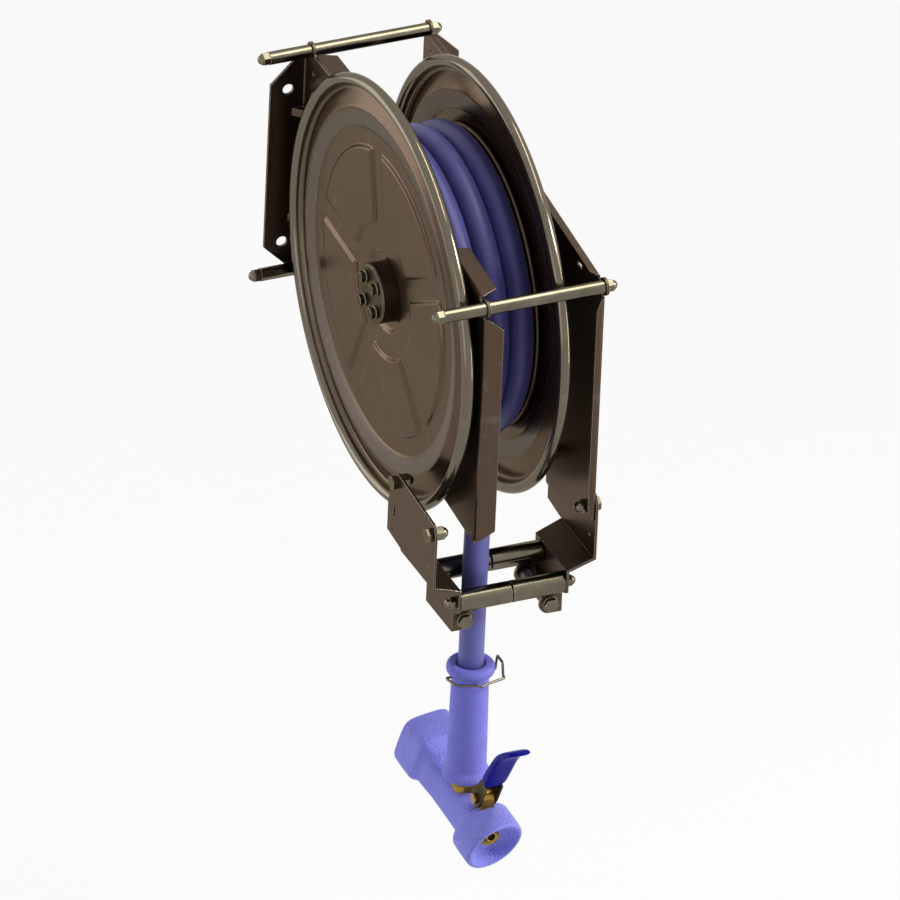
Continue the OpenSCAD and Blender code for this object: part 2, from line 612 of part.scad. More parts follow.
module tie_rods() color("#b9b39c") at_axle() for (p = tie_places)
  bar_x(plate_l - tie_out - tie_end, plate_r + tie_end, tie_r, 0, p[0], p[1]);
module tie_nuts() color("#d2ccb4") at_axle() for (p = tie_places) translate([0, p[0], p[1]]) {
  translate([plate_l - tie_out, 0, 0]) rotate([0, -90, 0])
    acorn_nut(tie_nut_af, 6.5, tie_r + seat_gap);
  translate([plate_r, 0, 0]) rotate([0, 90, 0]) acorn_nut(tie_nut_af, 6.5, tie_r + seat_gap);
}

// ---- Roller guide ----
arm_r = plate_r + plate_t;
arm_l = arm_r - arm_span;
box_mid = arm_r - arm_span / 2;
box_half = roller_half + 1.5 * roller_gap;
cross_places = [[-front_roller_y, -roller_z], [-rear_roller_y, rear_rise - roller_z]];
side_z = -roller_z - side_drop;
side_y = -(front_roller_y + rear_roller_y) / 2 + 9;
side_grip = side_l / 2 + roller_gap + plate_t;
tab_r = 11;
shelf_z = -208;
shelf_fall = 9;
arm_back = -101;
arm_front = -213.5;
// The right arm: the sheet steps from the plate's outer face in to the rollers' ends.
module arm_body() {
  intersection() {
    translate([0, -100, 0]) rotate([90, 0, 0]) linear_extrude(150)
      polygon(walled([[arm_r, -100], [arm_r, shelf_z],
                      [box_mid + box_half + plate_t, shelf_z - shelf_fall],
                      [box_mid + box_half + plate_t, side_z - tab_r]], -plate_t));
    sheet_x(box_mid, plate_r) difference() {
      union() {
        polygon([[arm_back - 19, -130], [arm_back - 3, -158], [arm_back, -172], [arm_back, -202],
                 [arm_back - 33, -206], [side_y + side_grip, shelf_z - shelf_fall],
                 [side_y + side_grip, side_z - tab_r], [side_y - side_grip, side_z - tab_r],
                 [side_y - side_grip, side_z + tab_r], [arm_front, -roller_z - 8],
                 [arm_front, -147], [arm_front + 5, -138]]);
      }
      for (p = arm_bolts_at) translate(p) circle(r = rod_r + seat_gap);
      for (p = cross_places) translate(p) circle(r = rod_r + seat_gap);
      for (p = [[-112, -197], [-201, -186]]) translate(p) circle(r = 2.2);
      translate([-116, -175]) {
        for (z = [-4, 4]) translate([0, z]) circle(r = 2.2);
        square([4.4, 8], center = true);
      }
    }
  }
  // Tabs at the front and back, bent inwards, that carry the side roller.
  for (y = [side_y - side_grip, side_y + side_grip - plate_t])
    difference() {
      translate([0, y + plate_t, 0]) rotate([90, 0, 0]) linear_extrude(plate_t) {
        translate([box_mid + side_pitch / 2, side_z]) circle(r = tab_r);
        translate([box_mid + side_pitch / 2, side_z - tab_r])
          square([box_half - side_pitch / 2 + 1, 2 * tab_r]);
      }
      translate([box_mid + side_pitch / 2, y - 1, side_z]) rotate([-90, 0, 0])
        cylinder(r = rod_r + seat_gap, h = plate_t + 2);
    }
}
module mirrored_arm() translate([2 * box_mid, 0, 0]) mirror([1, 0, 0]) children();
module right_arm() color("#5c4838") at_axle() arm_body();
module left_arm() color("#5c4838") at_axle() mirrored_arm() arm_body();
nut_reach = 12;
module arm_bolts() color("#b9b39c") at_axle() for (p = arm_bolts_at) translate([0, p[0], p[1]]) {
  bar_x(plate_r_in - nut_reach, arm_r, rod_r);
  translate([arm_r, 0, 0]) rotate([0, 90, 0]) hex_head(13, 5.3);
  bar_x(arm_l, arm_l + plate_t + nut_reach, rod_r);
  translate([arm_l, 0, 0]) rotate([0, -90, 0]) hex_head(13, 5.3);
}
module arm_nuts() color("#cdbf86") at_axle() for (p = arm_bolts_at) translate([0, p[0], p[1]]) {
  translate([plate_r_in, 0, 0]) rotate([0, -90, 0]) acorn_nut(13, 10, rod_r + seat_gap);
  translate([arm_l + plate_t, 0, 0]) rotate([0, 90, 0]) acorn_nut(13, 10, rod_r + seat_gap);
}
rod_over = 8;
module roller_rods() color("#b9b39c") at_axle() for (p = cross_places)
  bar_x(box_mid - box_half - plate_t - rod_over, box_mid + box_half + plate_t + rod_over,
        rod_r, 0, p[0], p[1]);
module rod_nuts() color("#d2ccb4") at_axle() for (p = cross_places) translate([0, p[0], p[1]]) {
  translate([box_mid - box_half - plate_t, 0, 0]) rotate([0, -90, 0]) acorn_nut(11, 6, rod_r + seat_gap);
  translate([box_mid + box_half + plate_t, 0, 0]) rotate([0, 90, 0]) acorn_nut(11, 6, rod_r + seat_gap);
}
// A roller along +Z with rounded ends and a running bore.
module roller(l, r) difference() {
  rotate_extrude() polygon([[0, 0], [r - 1, 0], [r, 1], [r, l - 1], [r - 1, l], [0, l]]);
  translate([0, 0, -1]) cylinder(r = rod_r + run_fit, h = l + 2);
}
module cross_roller(place, x) color("#d9d3b8") at_axle()
  translate([x, place[0], place[1]]) rotate([0, 90, 0]) roller(roller_half, roller_r);
half_l = box_mid - roller_gap / 2 - roller_half;
half_r = box_mid + roller_gap / 2;
module roller_front_left() cross_roller(cross_places[0], half_l);
module roller_front_right() cross_roller(cross_places[0], half_r);
module roller_rear_left() cross_roller(cross_places[1], half_l);
module roller_rear_right() cross_roller(cross_places[1], half_r);
module side_roller(s) color("#8a8478") at_axle()
  translate([box_mid + s * side_pitch / 2, side_y - side_l / 2, side_z]) rotate([-90, 0, 0])
    roller(side_l, side_roller_r);
module side_roller_left() side_roller(-1);
module side_roller_right() side_roller(1);
module side_bolts() color("#b9b39c") at_axle() for (s = [-1, 1])
  translate([box_mid + s * side_pitch / 2, side_y, side_z]) rotate([-90, 0, 0]) {
    translate([0, 0, -side_grip]) cylinder(r = rod_r, h = 2 * side_grip + 7);
    translate([0, 0, -side_grip - 1.2]) cylinder(r = 8, h = 1.2);
    translate([0, 0, -side_grip - 6.4]) hex_head(13, 5.3);
  }
module side_nuts() color("#d2ccb4") at_axle() for (s = [-1, 1])
  translate([box_mid + s * side_pitch / 2, side_y + side_grip, side_z]) rotate([-90, 0, 0])
    plain_nut(13, 6.5, rod_r + seat_gap);

// ---- Gun: handle sleeve, hose tail, valve body and cover ----
sleeve_low = sleeve_top + sleeve_l;
module at_gun() at_axle() translate([gun_x, -gun_y, 0]) children();
collar_r = 23.8;
collar_h = 12;
sleeve_wall = 3.3;
module handle_sleeve() color("#7a78c8") at_gun() difference() {
  union() {
    translate([0, 0, -sleeve_low]) rotate_extrude() polygon(concat(
      [[0, 0], [collar_r - 3, 0]],
      [for (a = [-90:15:90]) [collar_r - 4 + 3 * cos(a), 4 + 4 * sin(a)]],
      [[sleeve_r + 1, 13], [sleeve_r + 0.6, 40], [sleeve_r, 80], [sleeve_r - 0.6, sleeve_l - collar_h],
       [0, sleeve_l - collar_h]]));
    translate([0, 0, -sleeve_top - collar_h / 2]) rotate_extrude() union() {
      translate([collar_r - collar_h / 2, 0]) circle(r = collar_h / 2, $fn = 48);
      translate([0, -collar_h / 2]) square([collar_r - collar_h / 2, collar_h - 3]);
    }
  }
  translate([0, 0, -sleeve_low - 1]) cylinder(r = sleeve_r - sleeve_wall, h = sleeve_l + 2);
  for (s = [-1, 1]) translate([0, 0, -latch_z]) rotate([0, 90, 0])
    translate([0, 0, s > 0 ? sleeve_r - 3.2 : -sleeve_r - 3]) cylinder(r = wire_r + run_fit, h = 6.2);
}
tail_r = 11;
module hose_tail() color("#b08a3a") at_gun() {
  translate([0, 0, -tail_top - 36]) cylinder(r = sleeve_r - sleeve_wall - 0.3, h = 36);
  translate([0, 0, -sleeve_low - 2]) cylinder(r = tail_r, h = sleeve_low + 2 - tail_top - 35);
  translate([0, 0, -sleeve_low - 8]) hex_head(27, 7);
}
branch_r = 9;
barrel_r = 12;
hinge_y = -46;
hinge_z = -447;
module along_y(y) translate([0, y, -barrel_z]) rotate([90, 0, 0]) children();
module valve_body() color("#b08a3a") at_gun() difference() {
  union() {
    along_y(88) cylinder(r = barrel_r, h = 88 - hinge_y + 14);
    translate([0, 0, -barrel_z]) cylinder(r = branch_r, h = barrel_z - sleeve_low - 8);
    translate([0, 0, -sleeve_low - 14]) cylinder(r = 12.5, h = 6);
    // Lug that carries the lever.
    translate([-7, hinge_y - 8, -barrel_z]) cube([14, 16, barrel_z + hinge_z]);
    translate([-7, hinge_y, hinge_z]) rotate([0, 90, 0]) cylinder(r = 8, h = 14);
  }
  translate([-8, hinge_y, hinge_z]) rotate([0, 90, 0]) cylinder(r = pin_r + seat_gap, h = 16);
  along_y(stem_y + stem_stroke) cylinder(r = stem_r + run_fit, h = stem_l + 60);
}
stem_r = 3;
stem_l = 30;
stem_stroke = 5;
stem_y = hinge_y + 18;
module valve_stem() color("#8f8a7c") at_gun() along_y(stem_y - 1) {
  cylinder(r = stem_r, h = stem_l);
}
nozzle_y = hinge_y - 14;
module nozzle() color("#b08a3a") at_gun() along_y(nozzle_y) difference() {
  union() {
    cylinder(r = 11, h = 8);
    hex_head(20, 6);
    cylinder(r = 7.5, h = 14);
  }
  translate([0, 0, -1]) cylinder(r = 3.6, h = 20);
}
// A rounded square of the width w, height h and corner radius r.
module soft_square(w, h, r) {
  square([w - 2 * r, h], center = true);
  square([w, h - 2 * r], center = true);
  for (x = [-1, 1], y = [-1, 1]) translate([x * (w / 2 - r), y * (h / 2 - r)]) circle(r = r, $fn = 32);
}
bumper_up = 12;
module slice(y, w, h, r) along_y(y) linear_extrude(0.2) soft_square(w, h, r);
module gun_cover() color("#7a78c8") at_gun() difference() {
  union() {
    // The rear bumper stands higher than the barrel and runs into it in two steps.
    translate([0, 0, bumper_up]) {
      hull() {
        slice(back_y, 44, 52, 10);
        slice(back_y - 5, 54, 62, 12);
        slice(back_y - 44, 54, 62, 12);
        slice(back_y - 50, 46, 52, 11);
      }
      hull() {
        slice(back_y - 48, 44, 50, 11);
        slice(back_y - 62, 42, 46, 11);
      }
    }
    hull() {
      translate([0, 0, bumper_up]) slice(back_y - 61, 42, 46, 11);
      slice(back_y - 72, 36, 42, 10);
    }
    along_y(back_y - 70) linear_extrude(back_y - 70 + ring_y - 30) soft_square(36, 42, 10);
    translate([0, -ring_y, -barrel_z]) rotate([-90, 0, 0]) rotate_extrude()
      polygon([[0, 6], [ring_r - 8, 3], [ring_r - 6, 0], [ring_r - 3, 0], [ring_r, 3], [ring_r + 0.5, 10],
               [ring_r - 2, 34], [ring_r - 8, 44], [0, 48]]);
  }
  // Bore for the brass body, the cup of the ring and the window for the lever.
  along_y(90) cylinder(r = barrel_r + 0.3, h = 90 + ring_y);
  translate([0, -ring_y - 0.1, -barrel_z]) rotate([-90, 0, 0])
    cylinder(r1 = ring_r - 6, r2 = barrel_r + 4, h = 26);
  translate([-11, hinge_y - 10, -barrel_z]) cube([22, -hinge_y + 10 + 16, 60]);
  translate([0, 0, -barrel_z]) cylinder(r = 13.5, h = 60);
}
fork_in = 7.4;
fork_t = 2;
pin_r = 3;
pin_half = fork_in + fork_t + 0.3;
module lever_pin() color("#b08a3a") at_gun() translate([0, hinge_y, hinge_z]) rotate([0, 90, 0]) {
  translate([0, 0, -pin_half]) cylinder(r = pin_r, h = 2 * pin_half);
  translate([0, 0, -pin_half - 3]) cylinder(r = 5.2, h = 3);
  translate([0, 0, pin_half]) cylinder(r = 5.2, h = 2);
}
lever_tilt = 56;
// The lever is drawn along +Y2, from its hinge out, and then turned up to its rest angle.
module lever_frame() at_gun() translate([0, hinge_y, hinge_z]) rotate([-lever_tilt, 0, 0]) children();
module lever_fork() color("#77736a") lever_frame() {
  for (s = [-1, 1]) difference() {
    translate([s > 0 ? fork_in : -fork_in - fork_t, 0, 0]) rotate([0, 90, 0]) linear_extrude(fork_t)
      polygon([[-8, 7], [8, 7], [9, -4], [6, -30], [-6, -30], [-9, -4]]);
    translate([s > 0 ? fork_in - 1 : -fork_in - fork_t - 1, 0, 0]) rotate([0, 90, 0])
      cylinder(r = pin_r + run_fit, h = fork_t + 2);
  }
  translate([-fork_in - fork_t, -30, -1.5]) cube([2 * (fork_in + fork_t), 12, 3]);
}
module lever_grip() color("#1c1aa0") lever_frame() difference() {
  translate([-grip_w / 2, 0, 0]) rotate([90, 0, 90]) linear_extrude(grip_w)
    polygon([[-16, -5], [-16, 5], [-60, 5.5], [-86, 4.5], [-98, 2], [-116, -6], [-120, -10],
             [-118, -14], [-96, -5], [-84, -2.5], [-56, -4]]);
  translate([-fork_in - fork_t - 0.3, -30.3, -10]) cube([2 * (fork_in + fork_t) + 0.6, 20, 20]);
}
// ---- Latch wire at the neck of the handle ----
latch_z = sleeve_top + collar_h + 2;
side_run = collar_r + 1.8;
latch_points = [[-sleeve_r + 1, 0, 0], [-side_run + 1, 0, 0], [-side_run, -3, -0.5],
  [-side_run + 3, -20, 0], [4, -26, 0], [8, -28, -1.5], [side_run + 1, -24, 0],
  [side_run + 1, -20, 2], [side_run, -17, 14], [side_run, -6, 16], [side_run, -3, 10],
  [side_run, -1.5, 1.5], [side_run - 1, 0, 0], [sleeve_r - 1, 0, 0]];
module wire_latch() color("#b9b39c") at_gun() translate([0, 0, -latch_z])
  tube(latch_points, wire_r, 8, [0.05, 0.1, 1]);

// ---- Swivel inlet ----
swivel_x = shaft_step + 1.5;
swivel_r = 20;
seal_x = [shaft_step + 6, shaft_step + 12];
seal_depth = 2;
elbow_x = shaft_end + 11;
elbow_l = 46;
socket_r = 9.3;
socket_l = 15;
module swivel_body() color("#b08a3a") at_axle() difference() {
  union() {
    bar_x(swivel_x, elbow_x + 11, swivel_r);
    translate([elbow_x, 0, -elbow_l]) cylinder(r = 13, h = elbow_l);
    translate([elbow_x, 0, -elbow_l]) hex_head(30, 13);
  }
  bar_x(swivel_x - 1, shaft_end + 1, spigot_r + run_fit);
  bar_x(shaft_end, elbow_x + 7, spigot_r - 2);
  translate([elbow_x, 0, -elbow_l]) cylinder(r = 7, h = elbow_l);
  translate([elbow_x, 0, -elbow_l - 1]) cylinder(r = socket_r, h = socket_l + 1);
}
module swivel_seals() color("#222222") at_axle() for (x = seal_x)
  along_x(x) rotate_extrude() translate([spigot_r - 1, 0]) circle(r = 0.95, $fn = 24);
module swivel_ring() color("#8f8a7c") at_axle()
  bar_x(shaft_step + 0.1, swivel_x - 0.1, spigot_r + 4, spigot_r + seat_gap);

left_plate();
right_plate();
tie_tubes();
tie_rods();
tie_nuts();
spring_arbor();
left_bush();
right_housing();
right_bush();
bearing_screws();
outer_disc();
hub_boss();
hub_bolts();
shaft();
left_flange();
drum_core();
spring_wall();
power_spring();
outlet_pipe();
right_flange();
hub_spacer();
right_disc();
right_hub();
drum_bolts();
ratchet_wheel();
hose_inner_layers();
hose_outer_turns();
hose_free();
swivel_body();
swivel_seals();
swivel_ring();
pawl();
pawl_pin();
pawl_spring();
left_arm();
right_arm();
arm_bolts();
arm_nuts();
roller_rods();
rod_nuts();
roller_front_left();
roller_front_right();
roller_rear_left();
roller_rear_right();
side_roller_left();
side_roller_right();
side_bolts();
side_nuts();
handle_sleeve();
hose_tail();
valve_body();
gun_cover();
nozzle();
lever_fork();
lever_grip();
lever_pin();
valve_stem();
wire_latch();
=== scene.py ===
import math
import bpy
import numpy as np
from mathutils import Matrix, Vector


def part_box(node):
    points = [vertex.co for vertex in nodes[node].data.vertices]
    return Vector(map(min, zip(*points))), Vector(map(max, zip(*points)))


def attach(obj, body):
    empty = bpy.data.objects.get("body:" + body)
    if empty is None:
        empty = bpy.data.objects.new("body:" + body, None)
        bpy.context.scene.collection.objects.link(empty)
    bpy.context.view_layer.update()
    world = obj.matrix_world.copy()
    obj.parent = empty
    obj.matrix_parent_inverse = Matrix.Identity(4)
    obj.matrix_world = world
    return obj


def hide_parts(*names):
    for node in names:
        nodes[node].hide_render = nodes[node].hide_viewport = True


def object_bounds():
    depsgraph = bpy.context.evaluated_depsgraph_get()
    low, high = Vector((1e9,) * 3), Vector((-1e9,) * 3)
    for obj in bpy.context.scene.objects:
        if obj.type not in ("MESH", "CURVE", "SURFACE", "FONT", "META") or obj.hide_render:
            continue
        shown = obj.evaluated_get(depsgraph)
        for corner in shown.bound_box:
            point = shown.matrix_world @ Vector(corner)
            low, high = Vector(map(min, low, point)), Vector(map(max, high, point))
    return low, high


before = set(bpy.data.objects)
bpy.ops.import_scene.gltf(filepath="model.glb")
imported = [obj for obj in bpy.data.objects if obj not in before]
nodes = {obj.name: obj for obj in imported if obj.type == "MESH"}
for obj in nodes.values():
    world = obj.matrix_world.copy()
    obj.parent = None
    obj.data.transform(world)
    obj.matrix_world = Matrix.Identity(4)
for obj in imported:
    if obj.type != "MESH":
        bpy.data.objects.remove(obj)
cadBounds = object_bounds()
scene = bpy.context.scene
print("frame loaded:", len(nodes), "nodes")

# places read from the frame, in metres
coreLow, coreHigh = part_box("drum_core")
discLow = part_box("outer_disc")[0]
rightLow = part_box("right_disc")[0]
sleeveLow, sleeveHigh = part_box("handle_sleeve")
axleY = (coreLow.y + coreHigh.y) / 2
axleZ = (coreLow.z + coreHigh.z) / 2
rimRadius = 0.006  # own radius of the discs' rolled rims
rimX = discLow.x + rimRadius  # rim plane of the outer disc
rimRightX = rightLow.x + rimRadius
gunX = (sleeveLow.x + sleeveHigh.x) / 2
gunY = (sleeveLow.y + sleeveHigh.y) / 2


def local(points):
    # millimetres from the axle at the outer disc's rim plane, to metres in the frame
    return np.asarray(points, float) / 1000 + np.array([rimX, axleY, axleZ])


# camera
cameraLook = {
    "right": (0.917, -0.396, 0.0385),   # the image's right, in the frame
    "up": (0.1834, 0.483, 0.856),       # the image's up
    "image": 900,                       # width and height in pixels
    "pixelsPerMetre": 1039.8,
    "axlePixel": (381.0, 292.0),        # where the axle meets the rim plane
    "distance": 40.0,                   # metres, far enough for a nearly parallel view
    "sensor": 36.0,
    "clip": (0.1, 100.0),
}


def makeCamera(look):
    right = Vector(look["right"]).normalized()
    back = right.cross(Vector(look["up"])).normalized()
    up = back.cross(right)
    across, down = (look["image"] / 2 - pixel for pixel in look["axlePixel"])
    centre = Vector((rimX, axleY, axleZ))
    centre += right * across / look["pixelsPerMetre"] - up * down / look["pixelsPerMetre"]
    data = bpy.data.cameras.new("camera")
    data.sensor_width = look["sensor"]
    data.lens = look["sensor"] * look["distance"] / (look["image"] / look["pixelsPerMetre"])
    data.clip_start, data.clip_end = look["clip"]
    camera = bpy.data.objects.new("camera", data)
    scene.collection.objects.link(camera)
    turn = Matrix((right, up, back)).transposed().to_4x4()
    camera.matrix_world = Matrix.Translation(centre + back * look["distance"]) @ turn
    scene.camera = camera


makeCamera(cameraLook)
print("camera placed")


# shader maths
class Value:
    # a socket of one tree; arithmetic on it adds Math nodes
    def __init__(self, tree, socket):
        self.tree, self.socket = tree, socket

    def maths(self, operation, other, swapped=False):
        node = self.tree.nodes.new("ShaderNodeMath")
        node.operation = operation
        for slot, item in zip((1, 0) if swapped else (0, 1), (self, other)):
            if isinstance(item, Value):
                self.tree.links.new(item.socket, node.inputs[slot])
            else:
                node.inputs[slot].default_value = item
        return Value(self.tree, node.outputs[0])

    def __add__(self, other):
        return self.maths("ADD", other)

    def __radd__(self, other):
        return self.maths("ADD", other, True)

    def __sub__(self, other):
        return self.maths("SUBTRACT", other)

    def __rsub__(self, other):
        return self.maths("SUBTRACT", other, True)

    def __mul__(self, other):
        return self.maths("MULTIPLY", other)

    def __rmul__(self, other):
        return self.maths("MULTIPLY", other, True)

    def clipped(self):
        # kept between 0 and 1
        kept = self.maths("ADD", 0.0)
        kept.socket.node.use_clamp = True
        return kept


class Finish:
    # one material and its Principled shader
    def __init__(self, name, **constants):
        self.material = bpy.data.materials.new(name)
        self.material.use_nodes = True
        self.tree = self.material.node_tree
        self.tree.nodes.clear()
        self.output = self.tree.nodes.new("ShaderNodeOutputMaterial")
        self.shader = self.tree.nodes.new("ShaderNodeBsdfPrincipled")
        self.tree.links.new(self.shader.outputs[0], self.output.inputs["Surface"])
        for key, value in constants.items():
            self.shader.inputs[key.replace("_", " ")].default_value = value

    def add(self, kind, settings=None, inputs=None, output=0):
        node = self.tree.nodes.new("ShaderNode" + kind)
        for key, value in (settings or {}).items():
            setattr(node, key, value)
        for key, value in (inputs or {}).items():
            if isinstance(value, Value):
                self.tree.links.new(value.socket, node.inputs[key])
            else:
                node.inputs[key].default_value = value
        return Value(self.tree, node.outputs[output])

    def feed(self, name, value):
        self.tree.links.new(value.socket, self.shader.inputs[name])

    def place(self, scale=(1, 1, 1), shift=(0, 0, 0)):
        spot = self.add("TexCoord", output="Object")
        return self.add("Mapping", inputs={"Vector": spot, "Scale": scale, "Location": shift})

    def noise(self, size, detail):
        # even clouding; size in metres of one blotch
        return self.grain((1 / size,) * 3, detail)

    def grain(self, scale, detail):
        # drawn-out clouding; scale in blotches per metre along each axis
        return self.add("TexNoise", inputs={"Vector": self.place(scale), "Scale": 1.0,
                                            "Detail": detail, "Roughness": 0.55})

    def mix(self, share, first, second):
        node = self.tree.nodes.new("ShaderNodeMix")
        node.data_type = "RGBA"
        for slot, item in ((0, share), (6, first), (7, second)):
            if isinstance(item, Value):
                self.tree.links.new(item.socket, node.inputs[slot])
            else:
                node.inputs[slot].default_value = item if slot == 0 else (*item, 1)
        return Value(self.tree, node.outputs[2])

    def bump(self, height, depth, strength=1.0, soft=None):
        inputs = {"Height": height, "Strength": strength, "Distance": depth}
        if soft:
            inputs["Normal"] = soft
        self.feed("Normal", self.add("Bump", inputs=inputs))

    def softEdges(self, radius):
        # the normal as if edges were rounded, and how far it leans from the flat face's own
        soft = self.add("Bevel", {"samples": 4}, {"Radius": radius}, output="Normal")
        flat = self.add("NewGeometry", output="Normal")
        lean = self.add("VectorMath", {"operation": "DOT_PRODUCT"}, {0: soft, 1: flat}, "Value")
        return soft, ((1 - lean) * 5.0).clipped()


steelTones = {
    # sheetEdge and barEdge are the lighter tones painted on edges as a highlight, with some wear;
    # sheetEdge also tints the handling marks
    "sheetTint": (0.6, 0.56, 0.5, 1), "sheetEdge": (0.46, 0.42, 0.32), "sheetGrain": (420, 420, 420),
    "plateGrain": (420, 420, 21),   # rolled lines that run up the plates
    "barTint": (0.6, 0.55, 0.46, 1), "barEdge": (0.62, 0.58, 0.46),
}


def steelSheet(name, dark, light, roughness, grain="sheetGrain", band=None):
    # pressed stainless sheet: cloudy tone, fine rolled grain, handling marks, edges painted lighter
    # as a painted highlight with some wear
    finish = Finish(name, Metallic=0.86, Specular_Tint=steelTones["sheetTint"])
    edge = steelTones["sheetEdge"]
    soft, lean = finish.softEdges(0.0009)
    cloud = finish.noise(0.11, 2)
    streak = finish.grain(steelTones[grain], 4)
    speck = finish.noise(0.0016, 2)
    mark = ((finish.grain((35, 220, 60), 5) - 0.6) * 5).clipped()
    tone = (cloud * 0.7 + streak * 0.3).clipped()
    base = finish.mix(tone, dark, light)
    if band:
        base, roughness = band(finish, base, roughness)
    # edges painted lighter: a painted highlight along the rounded edges, with some wear
    base = finish.mix(lean * 0.8, base, edge)
    finish.feed("Base Color", finish.mix(mark * 0.15, base, edge))
    finish.feed("Roughness", roughness - 0.05 + streak * 0.08 + cloud * 0.06 - mark * 0.04)
    finish.bump(streak * 0.5 + speck * 0.5, 0.00005, 0.3, soft)
    return finish.material


def brightSteel(name, dark, light, roughness, edge=0.0005):
    # polished bar and fasteners: fine lines round the bar, a little tarnish, edges painted lighter as
    # a painted highlight
    finish = Finish(name, Metallic=1.0, Specular_Tint=steelTones["barTint"])
    soft, lean = finish.softEdges(edge)
    line = finish.grain((900, 60, 60), 2)
    tarnish = finish.noise(0.02, 3)
    base = finish.mix((tarnish * 1.4 - 0.2).clipped(), dark, light)
    # edges painted lighter: a painted highlight along the rounded edges
    finish.feed("Base Color", finish.mix(lean * 0.6, base, steelTones["barEdge"]))
    finish.feed("Roughness", roughness + line * 0.07)
    finish.bump(line, 0.00003, 0.25, soft)
    return finish.material


def brassFinish(name, dark, light):
    # cast and turned brass, tarnished in clouds
    finish = Finish(name, Metallic=1.0)
    tarnish = finish.noise(0.012, 4)
    fine = finish.noise(0.0011, 2)
    finish.feed("Base Color", finish.mix(tarnish, dark, light))
    finish.feed("Roughness", 0.2 + tarnish * 0.2)
    finish.bump(fine, 0.00005, 0.3)
    return finish.material


def hoseFinish(name, dark, light, roughness):
    # smooth extruded cover: soft clouding, chalk bloom, a very fine matt skin
    finish = Finish(name, IOR=1.5, Sheen_Weight=0.15, Sheen_Roughness=0.4)
    cloud = finish.noise(0.05, 3)
    skin = finish.noise(0.0009, 3)
    scuff = finish.grain((40, 40, 9), 3)
    bloom = ((scuff - 0.56) * 6).clipped()
    base = finish.mix(cloud, dark, light)
    finish.feed("Base Color", finish.mix(bloom * 0.12, base, (0.35, 0.35, 0.55)))
    finish.feed("Roughness", roughness + skin * 0.12 + bloom * 0.1)
    finish.bump(skin, 0.00008, 0.4)
    return finish.material


def pebbledRubber(name, dark, light, roughness, depth=1.0):
    # moulded rubber with a pebbled skin: cells of a little under two millimetres
    finish = Finish(name, IOR=1.4)
    spot = finish.place()
    bend = finish.noise(0.004, 2)
    cell = finish.add("TexVoronoi", {"feature": "SMOOTH_F1"},
                      {"Vector": spot, "Scale": 560.0, "Smoothness": 0.6, "Randomness": 1.0})
    pebble = (1 - cell * 1.2).clipped() * 0.75 + bend * 0.35
    cloud = finish.noise(0.03, 2)
    finish.feed("Base Color", finish.mix((cloud * 0.7 + pebble * 0.3).clipped(), dark, light))
    finish.feed("Roughness", roughness + (1 - pebble) * 0.12)
    finish.bump(pebble, 0.0011, depth)
    return finish.material


def glossPlastic(name, dark, light):
    # moulded plastic with a faint orange peel
    finish = Finish(name, IOR=1.3, Specular_IOR_Level=0.12)
    cloud = finish.noise(0.02, 2)
    orange = finish.noise(0.0022, 2)
    finish.feed("Base Color", finish.mix(cloud, dark, light))
    finish.feed("Roughness", 0.36 + cloud * 0.12)
    finish.bump(orange, 0.00006, 0.3)
    return finish.material


def plainPlastic(name, dark, light, roughness):
    # matt plastic and seal rubber with a fine skin
    finish = Finish(name, IOR=1.46)
    cloud = finish.noise(0.015, 3)
    skin = finish.noise(0.0012, 2)
    finish.feed("Base Color", finish.mix(cloud, dark, light))
    finish.feed("Roughness", roughness + skin * 0.1)
    finish.bump(skin, 0.00008, 0.4)
    return finish.material


discZones = {
    # radius where the rim bead starts; its lighter colour is a painted highlight along the bead
    "rim": 202.0, "rimHighlightColour": (0.15, 0.128, 0.095),
    # the cone outside the flat: a little rougher, and painted a lighter, greyer tone as a painted
    # reflection
    "ring": (163.0, 180.0), "coneReflectionColour": (0.135, 0.120, 0.108), "coneReflectionShare": 0.55,
}


def discBand(finish, base, roughness):
    # distance from the axle, in millimetres, sets the shares of the rim's painted highlight and the
    # cone's painted reflection
    spot = finish.place((0, 1, 1), (0, -axleY, -axleZ))
    reach = finish.add("VectorMath", {"operation": "LENGTH"}, {0: spot}, "Value") * 1000
    rim = ((reach - discZones["rim"]) * 0.6).clipped()
    inner, outer = discZones["ring"]
    ring = ((reach - inner) * 0.5).clipped() * ((outer - reach) * 0.5).clipped()
    # painted reflection: the cone mixed towards a lighter, greyer tone by radius
    withConeReflection = finish.mix(ring * discZones["coneReflectionShare"], base, discZones["coneReflectionColour"])
    # painted highlight: the rim bead mixed towards a lighter tone; its lower roughness is the polish
    return finish.mix(rim, withConeReflection, discZones["rimHighlightColour"]), roughness - rim * 0.1 + ring * 0.06


